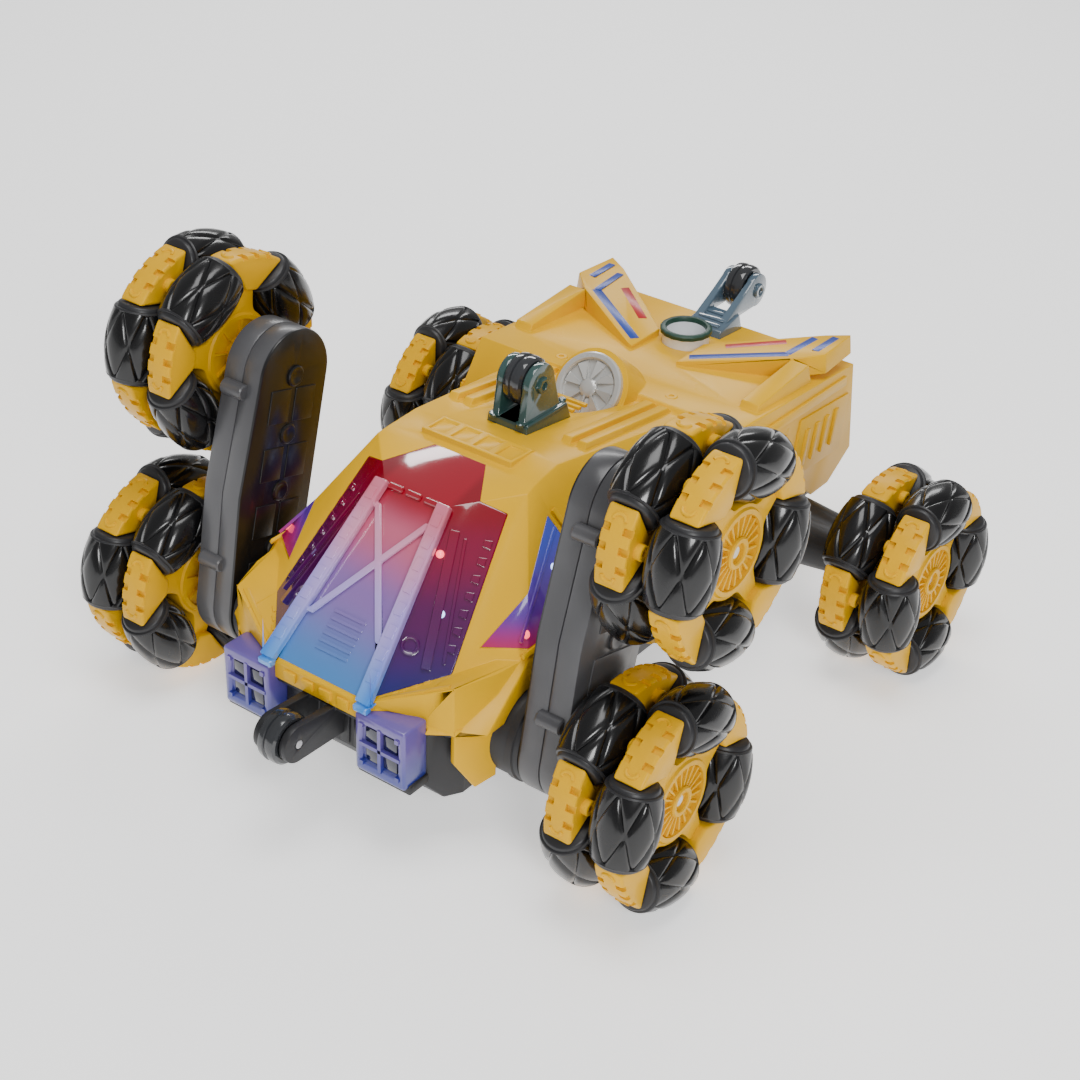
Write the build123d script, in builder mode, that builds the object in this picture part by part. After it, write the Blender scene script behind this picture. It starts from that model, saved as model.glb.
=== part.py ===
from build123d import *
import os
from math import atan2, cos, hypot, pi, radians, sin, sqrt

# A remote-controlled stunt car: two swing arms at the front carry a wheel at each end, two more wheels
# stand at the back, and every wheel is a double row of free barrel rollers.
# Millimetres, +Z up, the car faces -Y, its left side is +X. The origin is on the floor, at the middle of
# the car's length and width. Heights are measured from the floor and lengths from the front axle.

os.makedirs("parts", exist_ok=True)

# ---------------------------------------------------------------- driving dimensions
# wheels
wheel_radius = 40.0
row_spacing = 20.0
roller_radius = 11.5
roller_half_length = 14.5
journal_radius = 1.9
journal_length = 4.0
bracket_sink = 2.5
bracket_width = 11.0
hub_core_gap = 1.5
hub_spoke_width = 6.0
hub_boss_wall = 3.0
hub_rim_wall = 2.0
hub_face_rise = 1.0
hub_face_recess = 2.5
arm_wheel_phase = -15.0

# layout
wheel_base = 173.0
wheel_gap = 8.0
rear_wheel_outset = 1.5
haunch_half_width = 60.0
arm_gap = 6.0
arm_width = 18.0
arm_wheel_gap = 1.5
arm_lean = 13.8
arm_end_radius = 17.5
arm_front_bulge = 3.0
arm_wall = 2.0
front_idler_reach = 60.0
front_idler_height = 44.0
roof_idler_reach = 70.0
roof_idler_lift = 16.5
rear_idler_overhang = 46.0
rear_idler_height = 112.0
idler_radius = 9.3
idler_width = 8.0
idler_chamfer = 1.0
idler_pin_radius = 1.5
ear_thickness = 3.0
front_ear_radius = 7.0
roof_ear_radius = 8.0
rear_ear_radius = 7.0

# gears
gear_module = 1.0
arm_gear_count = 5
gear_face = 7.0
gear_side_gap = 2.0
gear_backlash = 0.24
tooth_rise = 0.85
tooth_depth = 1.15
pressure_angle = 20.0
swing_gear_teeth = 28
swing_pinion_teeth = 14
swing_gear_face = 5.0
gear_post_radius = 2.5
axle_radius = 2.0
axle_grip = 4.0
pivot_tube_radius = 8.0

# fits
running_clearance = 0.05
part_gap = 0.3

# body
wall = 2.0
shell_bottom = 50.0
fender_top = 69.0
roof_half_width = 32.0
roof_front_reach = 47.0
roof_front_height = 113.5
roof_rear_height = 100.0
nose_reach = -43.0
nose_half_width = 20.0
nose_top = 57.0
light_bar_thickness = 3.0
filler_radius = 8.0
filler_wall = 1.5
filler_depth = 12.0
filler_top = 107.0
filler_ring_rise = 2.0
turbine_radius = 14.0
turbine_thickness = 2.5
turbine_barrel_length = 18.0
wing_tilt = 8.0
wing_root_height = 104.0
wing_thickness = 8.0
vent_half_width = 20.0
vent_slot_half_width = 3.4
vent_slot_depth = 1.2
roof_rib_width = 4.0
rail_width = 8.0
lamp_inner_x = 19.5
lamp_outer_x = 41.0
lamp_bottom = 32.0
lamp_top = 55.5
lamp_front = -46.0
lamp_depth = 12.0
lamp_window_depth = 2.0

# chassis and what it holds
ground_clearance = 20.0
pivot_boss_radius = 17.0
neck_radius = 15.0
neck_tip_radius = 11.0
gearbox_half_width = 34.0
gearbox_front = 16.0
gearbox_rear = 13.0
gearbox_rise = 14.0
motor_radius = 9.0
motor_length = 26.0
motor_x = 14.0
battery_front = 66.0
battery_half_width = 18.0
battery_length = 52.0
battery_height = 20.0
bay_margin = 1.0
cover_ledge = 3.0
board_half_width = 28.0
board_thickness = 1.6
board_height = 56.0
board_margin = 5.0
standoff_radius = 2.0
standoff_x = 25.0
tank_half_width = 16.0
tank_half_length = 14.0
tank_bottom = 64.0
tank_top = 92.0
screw_radius = 1.5
screw_head_radius = 2.9
screw_bite = 12.0
post_radius = 3.6
switch_travel = 3.0
switch_length = 5.0
switch_half_width = 1.8
switch_from_battery = 18.8
switch_plate_half_width = 4.0
switch_plate_margin = 2.0
switch_rise = 1.2
switch_plate_gap = 0.1

# ---------------------------------------------------------------- sizes and places that follow
row_offset = row_spacing / 2
roller_axis_radius = wheel_radius - roller_radius
bracket_radius = wheel_radius - bracket_sink
hub_core_radius = roller_axis_radius - roller_radius - hub_core_gap
arm_inner_x = haunch_half_width + arm_gap
arm_outer_x = arm_inner_x + arm_width
arm_split_x = arm_inner_x + arm_width / 2
wheel_centre_x = arm_outer_x + arm_wheel_gap + roller_radius + row_offset
body_half_width = haunch_half_width - wall
tub_half_width = haunch_half_width - neck_radius + wall
gear_teeth = round((2 * wheel_radius + wheel_gap) / (arm_gear_count - 1) / gear_module)
arm_length = gear_teeth * gear_module * (arm_gear_count - 1)
rear_idler_reach = wheel_base + rear_idler_overhang
front_edge = -front_idler_reach - idler_radius
rear_edge = rear_idler_reach + idler_radius
front_axle_y = -(front_edge + rear_edge) / 2
axle_height = wheel_radius
floor = ground_clearance + wall


def at_y(reach):
    """Row-frame Y of a place that many millimetres behind the front axle."""
    return front_axle_y + reach


def side_plane(x=0.0):
    """Sketch plane facing +X: local x is the reach behind the front axle, local y is height."""
    return Plane(origin=(x, front_axle_y, 0), x_dir=(0, 1, 0), z_dir=(1, 0, 0))


def top_plane(z):
    """Sketch plane facing up: local x is X, local y is the reach behind the front axle."""
    return Plane(origin=(0, front_axle_y, z), x_dir=(1, 0, 0), z_dir=(0, 0, 1))


def front_plane(reach):
    """Sketch plane facing forward: local x is X, local y is height."""
    return Plane(origin=(0, front_axle_y + reach, 0), x_dir=(1, 0, 0), z_dir=(0, -1, 0))


def shaft_plane(x, reach, height, turn=0.0):
    """Plane facing +X at a shaft's centre; its local x is turned from +Y towards +Z."""
    return Plane(
        origin=(x, at_y(reach), height),
        x_dir=(0, cos(radians(turn)), sin(radians(turn))),
        z_dir=(1, 0, 0),
    )


def arm_plane(x):
    """Plane facing +X at the arm's pivot: local y runs up along the leaning arm."""
    return shaft_plane(x, 0, axle_height, -arm_lean)


def save(part, name):
    part.label = name
    export_step(part, f"parts/{name}.step")


def both_sides(points):
    """The outline of a symmetric plan or front view from its +X half, top to bottom."""
    return points + [(-x, y) for x, y in reversed(points)]


def gear_points(teeth, turn):
    """Outline of a spur gear with flanks of two straight runs, narrowed for backlash."""
    pitch = teeth * gear_module / 2
    half = (pi * gear_module / 2 - gear_backlash) / 2 / pitch
    root, tip = pitch - tooth_depth * gear_module, pitch + tooth_rise * gear_module
    base = pitch * cos(radians(pressure_angle))
    points = []
    for i in range(teeth):
        middle = turn + 2 * pi * i / teeth
        flank = [(root, half_angle(base, pitch, half, max(root, base)))]
        flank += [(r, half_angle(base, pitch, half, r)) for r in (pitch, tip)]
        for r, a in flank:
            points.append((r * cos(middle - a), r * sin(middle - a)))
        for r, a in reversed(flank):
            points.append((r * cos(middle + a), r * sin(middle + a)))
    return points


def half_angle(base, pitch, half, radius):
    """Half the angle that an involute tooth takes at a radius."""
    at_pitch = sqrt((pitch / base) ** 2 - 1)
    here = sqrt(max((radius / base) ** 2 - 1, 0))
    return half + (at_pitch - atan2(at_pitch, 1)) - (here - atan2(here, 1))


# ---------------------------------------------------------------- wheels
def hub_row(x, reach, height, turn, outward):
    """One star hub: a core with a recessed face, four spokes and four brackets that hold the journals."""
    wedge = (roller_half_length + part_gap) * sqrt(2)
    core_inner = x - outward * row_offset
    core_outer = x + outward * (hub_face_recess + hub_face_rise)
    with BuildPart() as hub:
        with BuildSketch(shaft_plane(x, reach, height, turn)):
            with PolarLocations(0, 4, start_angle=45):
                Rectangle(bracket_radius, hub_spoke_width, align=(Align.MIN, Align.CENTER))
                far = wedge + bracket_radius
                Polygon((wedge, 0), (far, -bracket_radius), (far, bracket_radius), align=None)
            Circle(bracket_radius, mode=Mode.INTERSECT)
        extrude(amount=bracket_width / 2, both=True)
        with BuildSketch(shaft_plane(core_inner, reach, height)):
            Circle(hub_core_radius)
        extrude(amount=core_outer - core_inner)
        with BuildSketch(shaft_plane(core_outer, reach, height)):
            Circle(hub_core_radius - hub_rim_wall)
            Circle(axle_radius + hub_boss_wall, mode=Mode.SUBTRACT)
        extrude(amount=-outward * hub_face_recess, mode=Mode.SUBTRACT)
        with BuildSketch(shaft_plane(x, reach, height)):
            Circle(axle_radius)
        extrude(amount=wheel_radius, both=True, mode=Mode.SUBTRACT)
        for i in range(4):
            axis = roller_plane(x, reach, height, turn + 90 * i)
            with BuildSketch(Plane(origin=axis.origin, x_dir=(1, 0, 0), z_dir=axis.x_dir)):
                Circle(journal_radius + running_clearance)
            extrude(amount=roller_half_length + journal_length + part_gap, both=True, mode=Mode.SUBTRACT)
    return hub.part


def roller_plane(x, reach, height, turn):
    """Plane of one roller: local x along its axis, local y straight out from the wheel's centre."""
    out_y, out_z = cos(radians(turn)), sin(radians(turn))
    return Plane(
        origin=(x, at_y(reach) + roller_axis_radius * out_y, height + roller_axis_radius * out_z),
        x_dir=(0, -out_z, out_y),
        z_dir=(-1, 0, 0),
    )


def roller_set(rows, reach, height):
    """All barrel rollers of one wheel, each with a journal at both ends."""
    end_radius = sqrt(wheel_radius**2 - roller_half_length**2) - roller_axis_radius
    middle_radius = wheel_radius - roller_axis_radius
    tip = roller_half_length + journal_length
    with BuildPart() as rollers:
        for x, turn in rows:
            for i in range(4):
                plane = roller_plane(x, reach, height, turn + 90 * i)
                with BuildSketch(plane):
                    with BuildLine():
                        ThreePointArc(
                            (-roller_half_length, end_radius),
                            (0, middle_radius),
                            (roller_half_length, end_radius),
                        )
                        Polyline(
                            (roller_half_length, end_radius),
                            (roller_half_length, journal_radius),
                            (tip, journal_radius),
                            (tip, 0),
                            (-tip, 0),
                            (-tip, journal_radius),
                            (-roller_half_length, journal_radius),
                            (-roller_half_length, end_radius),
                        )
                    make_face()
                revolve(axis=Axis(plane.origin, plane.x_dir))
    return rollers.part


def make_wheel(name, side, reach, height, phase, outset=0.0):
    """Inner row, outer row turned by 45 degrees to it, and the rollers."""
    centre = side * (wheel_centre_x + outset)
    inner, outer = centre - side * row_offset, centre + side * row_offset
    save(hub_row(inner, reach, height, phase + 45, -side), f"{name}_wheel_inner_hub")
    save(hub_row(outer, reach, height, phase, side), f"{name}_wheel_outer_hub")
    save(roller_set([(inner, phase + 45), (outer, phase)], reach, height), f"{name}_wheel_rollers")


upper_reach = arm_length * sin(radians(arm_lean))
upper_height = axle_height + arm_length * cos(radians(arm_lean))
for side, name in ((1, "left"), (-1, "right")):
    make_wheel(f"{name}_front", side, 0, axle_height, arm_wheel_phase)
    make_wheel(f"{name}_upper", side, upper_reach, upper_height, arm_wheel_phase)
    make_wheel(f"{name}_rear", side, wheel_base, axle_height, 0, rear_wheel_outset)


# ---------------------------------------------------------------- swing arms and their gears
def arm_outline(inset):
    """Outline of an arm seen from its side, with its pivot at the sketch's origin."""
    radius = arm_end_radius - inset
    knee = -arm_end_radius - arm_front_bulge + inset
    with BuildSketch() as outline:
        with BuildLine():
            ThreePointArc((radius, 0), (0, -radius), (-radius, 0))
            Polyline((-radius, 0), (knee, arm_length / 2), (-radius, arm_length))
            ThreePointArc((-radius, arm_length), (0, arm_length + radius), (radius, arm_length))
            Line((radius, arm_length), (radius, 0))
        make_face()
    return outline.sketch


def round_bar(x, length, reach, height, radius):
    """A round bar along X, from x by length; the same bar cuts a bore."""
    with BuildPart() as bar:
        with BuildSketch(shaft_plane(x, reach, height)):
            Circle(radius)
        extrude(amount=length)
    return bar.part


def gear_place(index):
    """Reach and height of a gear's shaft in the arm, counted up from the pivot."""
    along = index * arm_length / (arm_gear_count - 1)
    return along * sin(radians(arm_lean)), axle_height + along * cos(radians(arm_lean))


arm_gear_names = (
    "front_axle_gear",
    "low_idler_gear",
    "middle_idler_gear",
    "high_idler_gear",
    "upper_axle_gear",
)
gear_start = arm_inner_x + arm_wall + gear_side_gap
axle_start = gearbox_half_width - axle_grip
tube_start = tub_half_width - wall - 1.0 - swing_gear_face
for side, name in ((1, "left"), (-1, "right")):
    with BuildPart() as inner_shell:
        with BuildSketch(arm_plane(side * arm_inner_x)):
            add(arm_outline(0))
        extrude(amount=side * (arm_split_x - arm_inner_x))
        with BuildSketch(arm_plane(side * (arm_inner_x + arm_wall))):
            add(arm_outline(arm_wall))
        extrude(amount=side * arm_outer_x, mode=Mode.SUBTRACT)
        for index in range(1, arm_gear_count - 1):
            post = arm_outer_x - arm_wall - arm_inner_x - part_gap
            add(round_bar(side * arm_inner_x, side * post, *gear_place(index), gear_post_radius))
        tube_length = gear_start - tube_start - 1
        add(round_bar(side * tube_start, side * tube_length, 0, axle_height, pivot_tube_radius))
        for index in (0, arm_gear_count - 1):
            bore = round_bar(0, side * arm_outer_x, *gear_place(index), axle_radius + running_clearance)
            add(bore, mode=Mode.SUBTRACT)
    save(inner_shell.part, f"{name}_arm_inner_shell")

    with BuildPart() as outer_shell:
        with BuildSketch(arm_plane(side * arm_split_x)):
            add(arm_outline(0))
        extrude(amount=side * (arm_outer_x - arm_split_x))
        with BuildSketch(arm_plane(side * arm_split_x)):
            add(arm_outline(arm_wall))
        extrude(amount=side * (arm_outer_x - arm_wall - arm_split_x), mode=Mode.SUBTRACT)
        for index in (0, arm_gear_count - 1):
            bore = round_bar(0, side * arm_outer_x, *gear_place(index), axle_radius + running_clearance)
            add(bore, mode=Mode.SUBTRACT)
    save(outer_shell.part, f"{name}_arm_outer_shell")

    for index in range(arm_gear_count):
        reach, height = gear_place(index)
        # teeth of one gear stand opposite the gaps of the next, along the line through both shafts
        tooth = radians(90 - arm_lean) + (index % 2) * pi / gear_teeth
        hub_end = wheel_centre_x + row_offset + hub_face_recess
        with BuildPart() as gear:
            with BuildSketch(shaft_plane(side * gear_start, reach, height)):
                with BuildLine():
                    Polyline(*gear_points(gear_teeth, tooth), close=True)
                make_face()
            extrude(amount=side * gear_face)
            if index in (0, arm_gear_count - 1):
                start = axle_start if index == 0 else arm_inner_x + part_gap
                add(round_bar(side * start, side * (hub_end - start), reach, height, axle_radius))
            else:
                bore = round_bar(0, side * arm_outer_x, reach, height, gear_post_radius + running_clearance)
                add(bore, mode=Mode.SUBTRACT)
        save(gear.part, f"{name}_{arm_gear_names[index]}")

    # gear on the pivot tube, inside the chassis
    with BuildPart() as swing_gear:
        with BuildSketch(shaft_plane(side * tube_start, 0, axle_height)):
            with BuildLine():
                Polyline(*gear_points(swing_gear_teeth, 0), close=True)
            make_face()
            Circle(pivot_tube_radius, mode=Mode.SUBTRACT)
        extrude(amount=side * swing_gear_face)
    save(swing_gear.part, f"{name}_swing_gear")

layshaft_reach = (swing_gear_teeth + swing_pinion_teeth) * gear_module / 2
with BuildPart() as layshaft:
    shaft_half = tub_half_width - wall - part_gap
    add(round_bar(-shaft_half, 2 * shaft_half, layshaft_reach, axle_height, axle_radius))
    for side in (1, -1):
        with BuildSketch(shaft_plane(side * tube_start, layshaft_reach, axle_height)):
            with BuildLine():
                Polyline(*gear_points(swing_pinion_teeth, pi + pi / swing_pinion_teeth), close=True)
            make_face()
        extrude(amount=side * swing_gear_face)
save(layshaft.part, "swing_layshaft")

for side, name in ((1, "left"), (-1, "right")):
    with BuildPart() as rear_axle:
        end = wheel_centre_x + rear_wheel_outset + row_offset + hub_face_recess
        add(round_bar(side * axle_start, side * (end - axle_start), wheel_base, axle_height, axle_radius))
    save(rear_axle.part, f"{name}_rear_axle")


# ---------------------------------------------------------------- body shell
def facet(a, b, c):
    """Plane through three places (X, reach, height), facing the way the right hand gives."""
    p, q, r = (Vector(x, at_y(reach), z) for x, reach, z in (a, b, c))
    return Plane(origin=p, z_dir=(q - p).cross(r - p))


bar_top = (14.0, 9.0, 107.0)
bar_foot = (nose_half_width + 1, nose_reach, nose_top)
canopy_corner = (39.6, -20.0, 65.0)
canopy_top = (33.0, 112.0)
fender_corner = (body_half_width - 9, -29.0, fender_top)
fender_end_reach = 60.0
roof_rear_reach = wheel_base - 23
haunch_front_low = (wheel_base - 77, 69.0)
haunch_front_high = (wheel_base - 52, 106.0)
haunch_rear_high = (wheel_base + 35, 100.0)
tail = (wheel_base + 41, 60.0)
tail_foot_reach = wheel_base + 25
body_front_plan = [
    (nose_half_width, nose_reach),
    (fender_corner[0], fender_corner[1] - 1),
    (body_half_width - 3.5, -14.0),
    (body_half_width, 12.0),
]
body_plan = both_sides(body_front_plan + [(body_half_width, tail_foot_reach)])


def on_roof(reach, rise=0.0):
    """A place in a side view, so far above the sloping roof."""
    share = (reach - roof_front_reach) / (roof_rear_reach - roof_front_reach)
    return reach, roof_front_height + share * (roof_rear_height - roof_front_height) + rise


def block(plane, points, amount, both=False, inset=0.0):
    """A straight block drawn by its outline; inset shrinks the outline for a hollow."""
    with BuildPart() as solid:
        with BuildSketch(plane):
            with BuildLine():
                Polyline(*points, close=True)
            make_face()
            if inset:
                offset(amount=-inset, kind=Kind.INTERSECTION)
        extrude(amount=amount, both=both)
    return solid.part


def cabin(inset):
    """The faceted front body, from the nose to the end of the roof; inset makes its hollow."""
    side_points = [
        (nose_reach, shell_bottom),
        (nose_reach, nose_top),
        (bar_top[1], bar_top[2]),
        canopy_top,
        (roof_front_reach, roof_front_height),
        (roof_rear_reach, roof_rear_height),
        (roof_rear_reach, shell_bottom),
    ]
    section = both_sides([
        (roof_half_width, roof_front_height),
        (body_half_width, fender_top),
        (body_half_width, shell_bottom),
    ])
    with BuildPart() as cabin_block:
        add(block(side_plane(), side_points, body_half_width - inset, True, inset))
        across = block(front_plane(roof_rear_reach), section, wheel_base + arm_length, inset=inset)
        add(across, mode=Mode.INTERSECT)
        for flip in (1, -1):
            corners = [(flip * x, y, z) for x, y, z in (bar_top, bar_foot, canopy_corner)]
            plane = facet(*corners) if flip > 0 else facet(corners[0], corners[2], corners[1])
            split(bisect_by=plane.offset(-inset), keep=Keep.BOTTOM)
    return cabin_block.part


def fenders(inset):
    """Nose and fenders: a flat nose between two blocks whose tops rise outwards."""
    inner = nose_half_width - 5
    nose = both_sides([(nose_half_width, nose_reach), (nose_half_width, 0.0)])
    fender_end = [(body_half_width, fender_end_reach), (inner, fender_end_reach)]
    half_plan = [(inner, nose_reach), *body_front_plan, *fender_end]
    top = facet((nose_half_width, nose_reach, nose_top), fender_corner, canopy_corner)
    with BuildPart() as fender_block:
        add(block(top_plane(shell_bottom), half_plan, fender_top - shell_bottom - inset, inset=inset))
        split(bisect_by=top.offset(-inset), keep=Keep.BOTTOM)
        mirror(about=Plane.YZ)
        add(block(top_plane(shell_bottom), nose, nose_top - shell_bottom - inset, inset=inset))
    return fender_block.part


def haunches(inset):
    """The boxy rear of the body."""
    outline = [
        (haunch_front_low[0], shell_bottom),
        haunch_front_low,
        haunch_front_high,
        haunch_rear_high,
        tail,
        (tail_foot_reach, shell_bottom),
    ]
    return block(side_plane(), outline, haunch_half_width - inset, True, inset)


def whole_body(inset):
    with BuildPart() as whole:
        add(cabin(inset))
        add(fenders(inset))
        add(haunches(inset))
    return whole.part


canopy_outline = both_sides([
    (11.0, canopy_top[1]),
    (31.0, 105.6),
    (canopy_corner[0], canopy_corner[2]),
    (nose_half_width, nose_top + 1),
])
canopy_rear_reach = 36.0
window_inner_x = roof_half_width + wall
window_outline = [(33.0, 102.0), (-9.0, 72.0), (44.0, 72.0)]
roof_post_places = [(34.0, 78.0), (-34.0, 78.0), (40.0, roof_rear_reach), (-40.0, roof_rear_reach)]
filler_reach = wheel_base + 4
turbine_reach = wheel_base - 62
turbine_height = 107.0
turbine_axis = (0, 0.8, -0.6)
turbine_plane = Plane(origin=(0, at_y(turbine_reach), turbine_height), x_dir=(1, 0, 0), z_dir=turbine_axis)
turbine_seat = [
    (turbine_reach - 23, turbine_height - 11),
    (turbine_reach - 23, turbine_height - 1),
    (turbine_reach + 11, turbine_height - 5),
    (turbine_reach + 11, turbine_height - 19),
    (turbine_reach - 15, turbine_height - 19),
]
vent_outline = [(36, 106), (36, 114.6), (49, 114.2), on_roof(52, -1), (52, 106)]
roof_rib_outline = [(62, 108), on_roof(66, 2.5), on_roof(118, 2.3), (124, 101)]
roof_rib_places = (-31.0, -24.4, 20.4, 27.0)
rail_outline = [
    (wheel_base - 37, 100),
    (wheel_base - 33, 107.5),
    (wheel_base + 3, 110.5),
    (wheel_base + 7, 100),
]
roof_idler_height = on_roof(roof_idler_reach, roof_idler_lift)[1]
roof_bracket_half_width = 9.0
roof_bracket_base = [
    (roof_idler_reach - 12, roof_idler_height - 23),
    (roof_idler_reach - 10, roof_idler_height - 12),
    (roof_idler_reach + 14, roof_idler_height - 12),
    (roof_idler_reach + 18, roof_idler_height - 23),
]
roof_ear_foot = [(roof_idler_reach + away, roof_idler_height - 13) for away in (-10, 12)]
rear_bracket_half_width = 8.5
rear_bracket_base = [
    (rear_idler_reach - 31, rear_idler_height - 16),
    (rear_idler_reach - 29, rear_idler_height - 8),
    (rear_idler_reach - 15, rear_idler_height - 5),
    (rear_idler_reach - 11, rear_idler_height - 16),
]
rear_ear_foot = [
    (rear_idler_reach - 27, rear_idler_height - 9),
    (rear_idler_reach - 16, rear_idler_height - 7),
]


def wing(flip):
    """One rear wing: a blade from the filler out to the rear corner, rising outwards."""
    lean = radians(wing_tilt)
    plane = Plane(
        origin=(0, front_axle_y, wing_root_height),
        x_dir=(cos(lean), 0, flip * sin(lean)),
        z_dir=(-flip * sin(lean), 0, cos(lean)),
    )
    blade = [
        (10.5, -19),
        (13.4, -18),
        (haunch_half_width - 10, 3),
        (haunch_half_width - 0.6, 12),
        (haunch_half_width - 2, 34.5),
        (haunch_half_width - 11, 30),
        (10.5, 1),
    ]
    return block(plane, [(flip * x, wheel_base + y) for x, y in blade], -wing_thickness)


def idler_ears(reach, height, foot, width):
    """Two ears from the two places of a foot (left one first, seen from it) to a round end at the pin."""
    inner = idler_width / 2 + part_gap
    along_y, along_z = reach - (foot[0][0] + foot[1][0]) / 2, height - (foot[0][1] + foot[1][1]) / 2
    span = hypot(along_y, along_z)
    left = (reach - width * along_z / span, height + width * along_y / span)
    right = (reach + width * along_z / span, height - width * along_y / span)
    with BuildPart() as ears:
        for side in (1, -1):
            with BuildSketch(side_plane(side * inner)):
                Polygon(foot[0], left, right, foot[1], align=None)
                with Locations((reach, height)):
                    Circle(width)
                    Circle(idler_pin_radius, mode=Mode.SUBTRACT)
            extrude(amount=side * ear_thickness)
    return ears.part


def lamp_box(side):
    """The space of one headlamp."""
    corners = [(lamp_inner_x, lamp_front), (lamp_outer_x, lamp_front)]
    corners += [(x, y + lamp_depth) for x, y in reversed(corners)]
    return block(top_plane(lamp_bottom), [(side * x, y) for x, y in corners], lamp_top - lamp_bottom)


# smoked brackets that carry the roof idler and the rear idler
with BuildPart() as roof_bracket:
    add(block(side_plane(), roof_bracket_base, roof_bracket_half_width, True))
    add(idler_ears(roof_idler_reach, roof_idler_height, roof_ear_foot, roof_ear_radius))
save(roof_bracket.part, "roof_bracket")

with BuildPart() as rear_bracket:
    add(block(side_plane(), rear_bracket_base, rear_bracket_half_width, True))
    add(idler_ears(rear_idler_reach, rear_idler_height, rear_ear_foot, rear_ear_radius))
save(rear_bracket.part, "rear_bracket")

# solids that other pieces make room for
neck_length = arm_outer_x - tub_half_width
boss_start = tub_half_width - wall
boss_length = arm_inner_x - part_gap - boss_start
with BuildPart() as bosses:
    for side in (1, -1):
        add(round_bar(side * boss_start, side * boss_length, 0, axle_height, pivot_boss_radius))
        with BuildSketch(shaft_plane(side * boss_start, wheel_base, axle_height)):
            Circle(neck_radius)
        with BuildSketch(shaft_plane(side * (tub_half_width + neck_length), wheel_base, axle_height)):
            Circle(neck_tip_radius)
        loft()

with BuildPart() as boss_room:
    for side in (1, -1):
        for reach, radius in ((0, pivot_boss_radius), (wheel_base, neck_radius)):
            add(round_bar(side * boss_start, side * boss_length, reach, axle_height, radius + part_gap))

with BuildPart() as hollow:
    add(whole_body(wall))
    # the hollow is open below
    add(block(top_plane(shell_bottom), body_plan, wall, inset=wall))
    with BuildSketch(top_plane(shell_bottom)):
        with Locations(*roof_post_places):
            Circle(post_radius)
    extrude(amount=roof_front_height, mode=Mode.SUBTRACT)

with BuildPart() as body_shell:
    add(whole_body(0))
    # vent block across the front of the roof, with four slots in its top
    add(block(side_plane(), vent_outline, vent_half_width, True))
    slot_front, slot_rear = vent_outline[1][0] + wall, vent_outline[2][0] - wall
    with BuildSketch(top_plane(vent_outline[1][1])):
        with Locations((0, (slot_front + slot_rear) / 2)):
            with GridLocations(vent_half_width / 2, 1, 4, 1):
                Rectangle(2 * vent_slot_half_width, slot_rear - slot_front)
    extrude(amount=-vent_slot_depth, mode=Mode.SUBTRACT)
    # two ribs on each side of the roof
    for x in roof_rib_places:
        add(block(side_plane(x), roof_rib_outline, roof_rib_width))
    # rails along the top of the haunches
    rail_x = haunch_half_width - rail_width - 3
    for x in (-rail_x - rail_width, rail_x):
        add(block(side_plane(x), rail_outline, rail_width))
    for flip in (1, -1):
        add(wing(flip))
    # barrel behind the turbine disc
    with BuildSketch(turbine_plane):
        Circle(turbine_radius + wall)
    extrude(amount=turbine_barrel_length)
    add(hollow.part, mode=Mode.SUBTRACT)
    # seat of the turbine disc: a solid bed below the roof with a round recess that looks forward
    add(block(side_plane(), turbine_seat, turbine_radius + 2 * wall, True))
    with BuildSketch(turbine_plane):
        Circle(turbine_radius + part_gap / 3)
    extrude(amount=-turbine_barrel_length, mode=Mode.SUBTRACT)
    add(block(front_plane(canopy_rear_reach), canopy_outline, wheel_base), mode=Mode.SUBTRACT)
    for flip in (1, -1):
        window = block(side_plane(flip * window_inner_x), window_outline, flip * body_half_width)
        add(window, mode=Mode.SUBTRACT)
        add(lamp_box(flip), mode=Mode.SUBTRACT)
    with BuildSketch(top_plane(filler_top)):
        with Locations((0, filler_reach)):
            Circle(filler_radius + filler_wall + running_clearance)
    extrude(amount=filler_top - tank_top, both=True, mode=Mode.SUBTRACT)
    with BuildSketch(top_plane(shell_bottom)):
        with Locations(*roof_post_places):
            Circle(screw_radius)
    extrude(amount=screw_bite + wall, mode=Mode.SUBTRACT)
    add(roof_bracket.part, mode=Mode.SUBTRACT)
    add(rear_bracket.part, mode=Mode.SUBTRACT)
    add(boss_room.part, mode=Mode.SUBTRACT)
save(body_shell.part, "body_shell")

# tinted canopy: the cabin's skin inside the canopy's outline
with BuildPart() as canopy:
    add(cabin(0))
    add(cabin(wall), mode=Mode.SUBTRACT)
    add(block(front_plane(canopy_rear_reach), canopy_outline, wheel_base), mode=Mode.INTERSECT)
save(canopy.part, "canopy")

for side, name in ((1, "left"), (-1, "right")):
    with BuildPart() as side_window:
        add(cabin(0))
        add(cabin(wall), mode=Mode.SUBTRACT)
        window = block(side_plane(side * window_inner_x), window_outline, side * body_half_width)
        add(window, mode=Mode.INTERSECT)
    save(side_window.part, f"{name}_side_window")

# two light bars from the canopy's brow down to the headlamps, with a cross brace between them
slope = hypot(bar_top[1] - bar_foot[1], bar_top[2] - bar_foot[2])
rise = ((bar_top[1] - bar_foot[1]) / slope, (bar_top[2] - bar_foot[2]) / slope)
bar_plane = Plane(origin=(0, at_y(bar_top[1]), bar_top[2]), x_dir=(1, 0, 0), z_dir=(0, -rise[1], rise[0]))
light_bar_foot_x = 18.5
light_bar_width = 6.0
light_bar = [
    (11.0, 0.0),
    (16.5, 0.0),
    (light_bar_foot_x + light_bar_width, -slope),
    (light_bar_foot_x, -slope),
]
light_brace = [(-13.0, -8.0), (-10.0, -8.0), (17.0, -52.0), (14.0, -52.0)]
light_bar_drop = [
    (lamp_front, lamp_top),
    (nose_reach, lamp_top),
    (nose_reach, nose_top + 1),
    (lamp_front, nose_top + 1),
]
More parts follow.
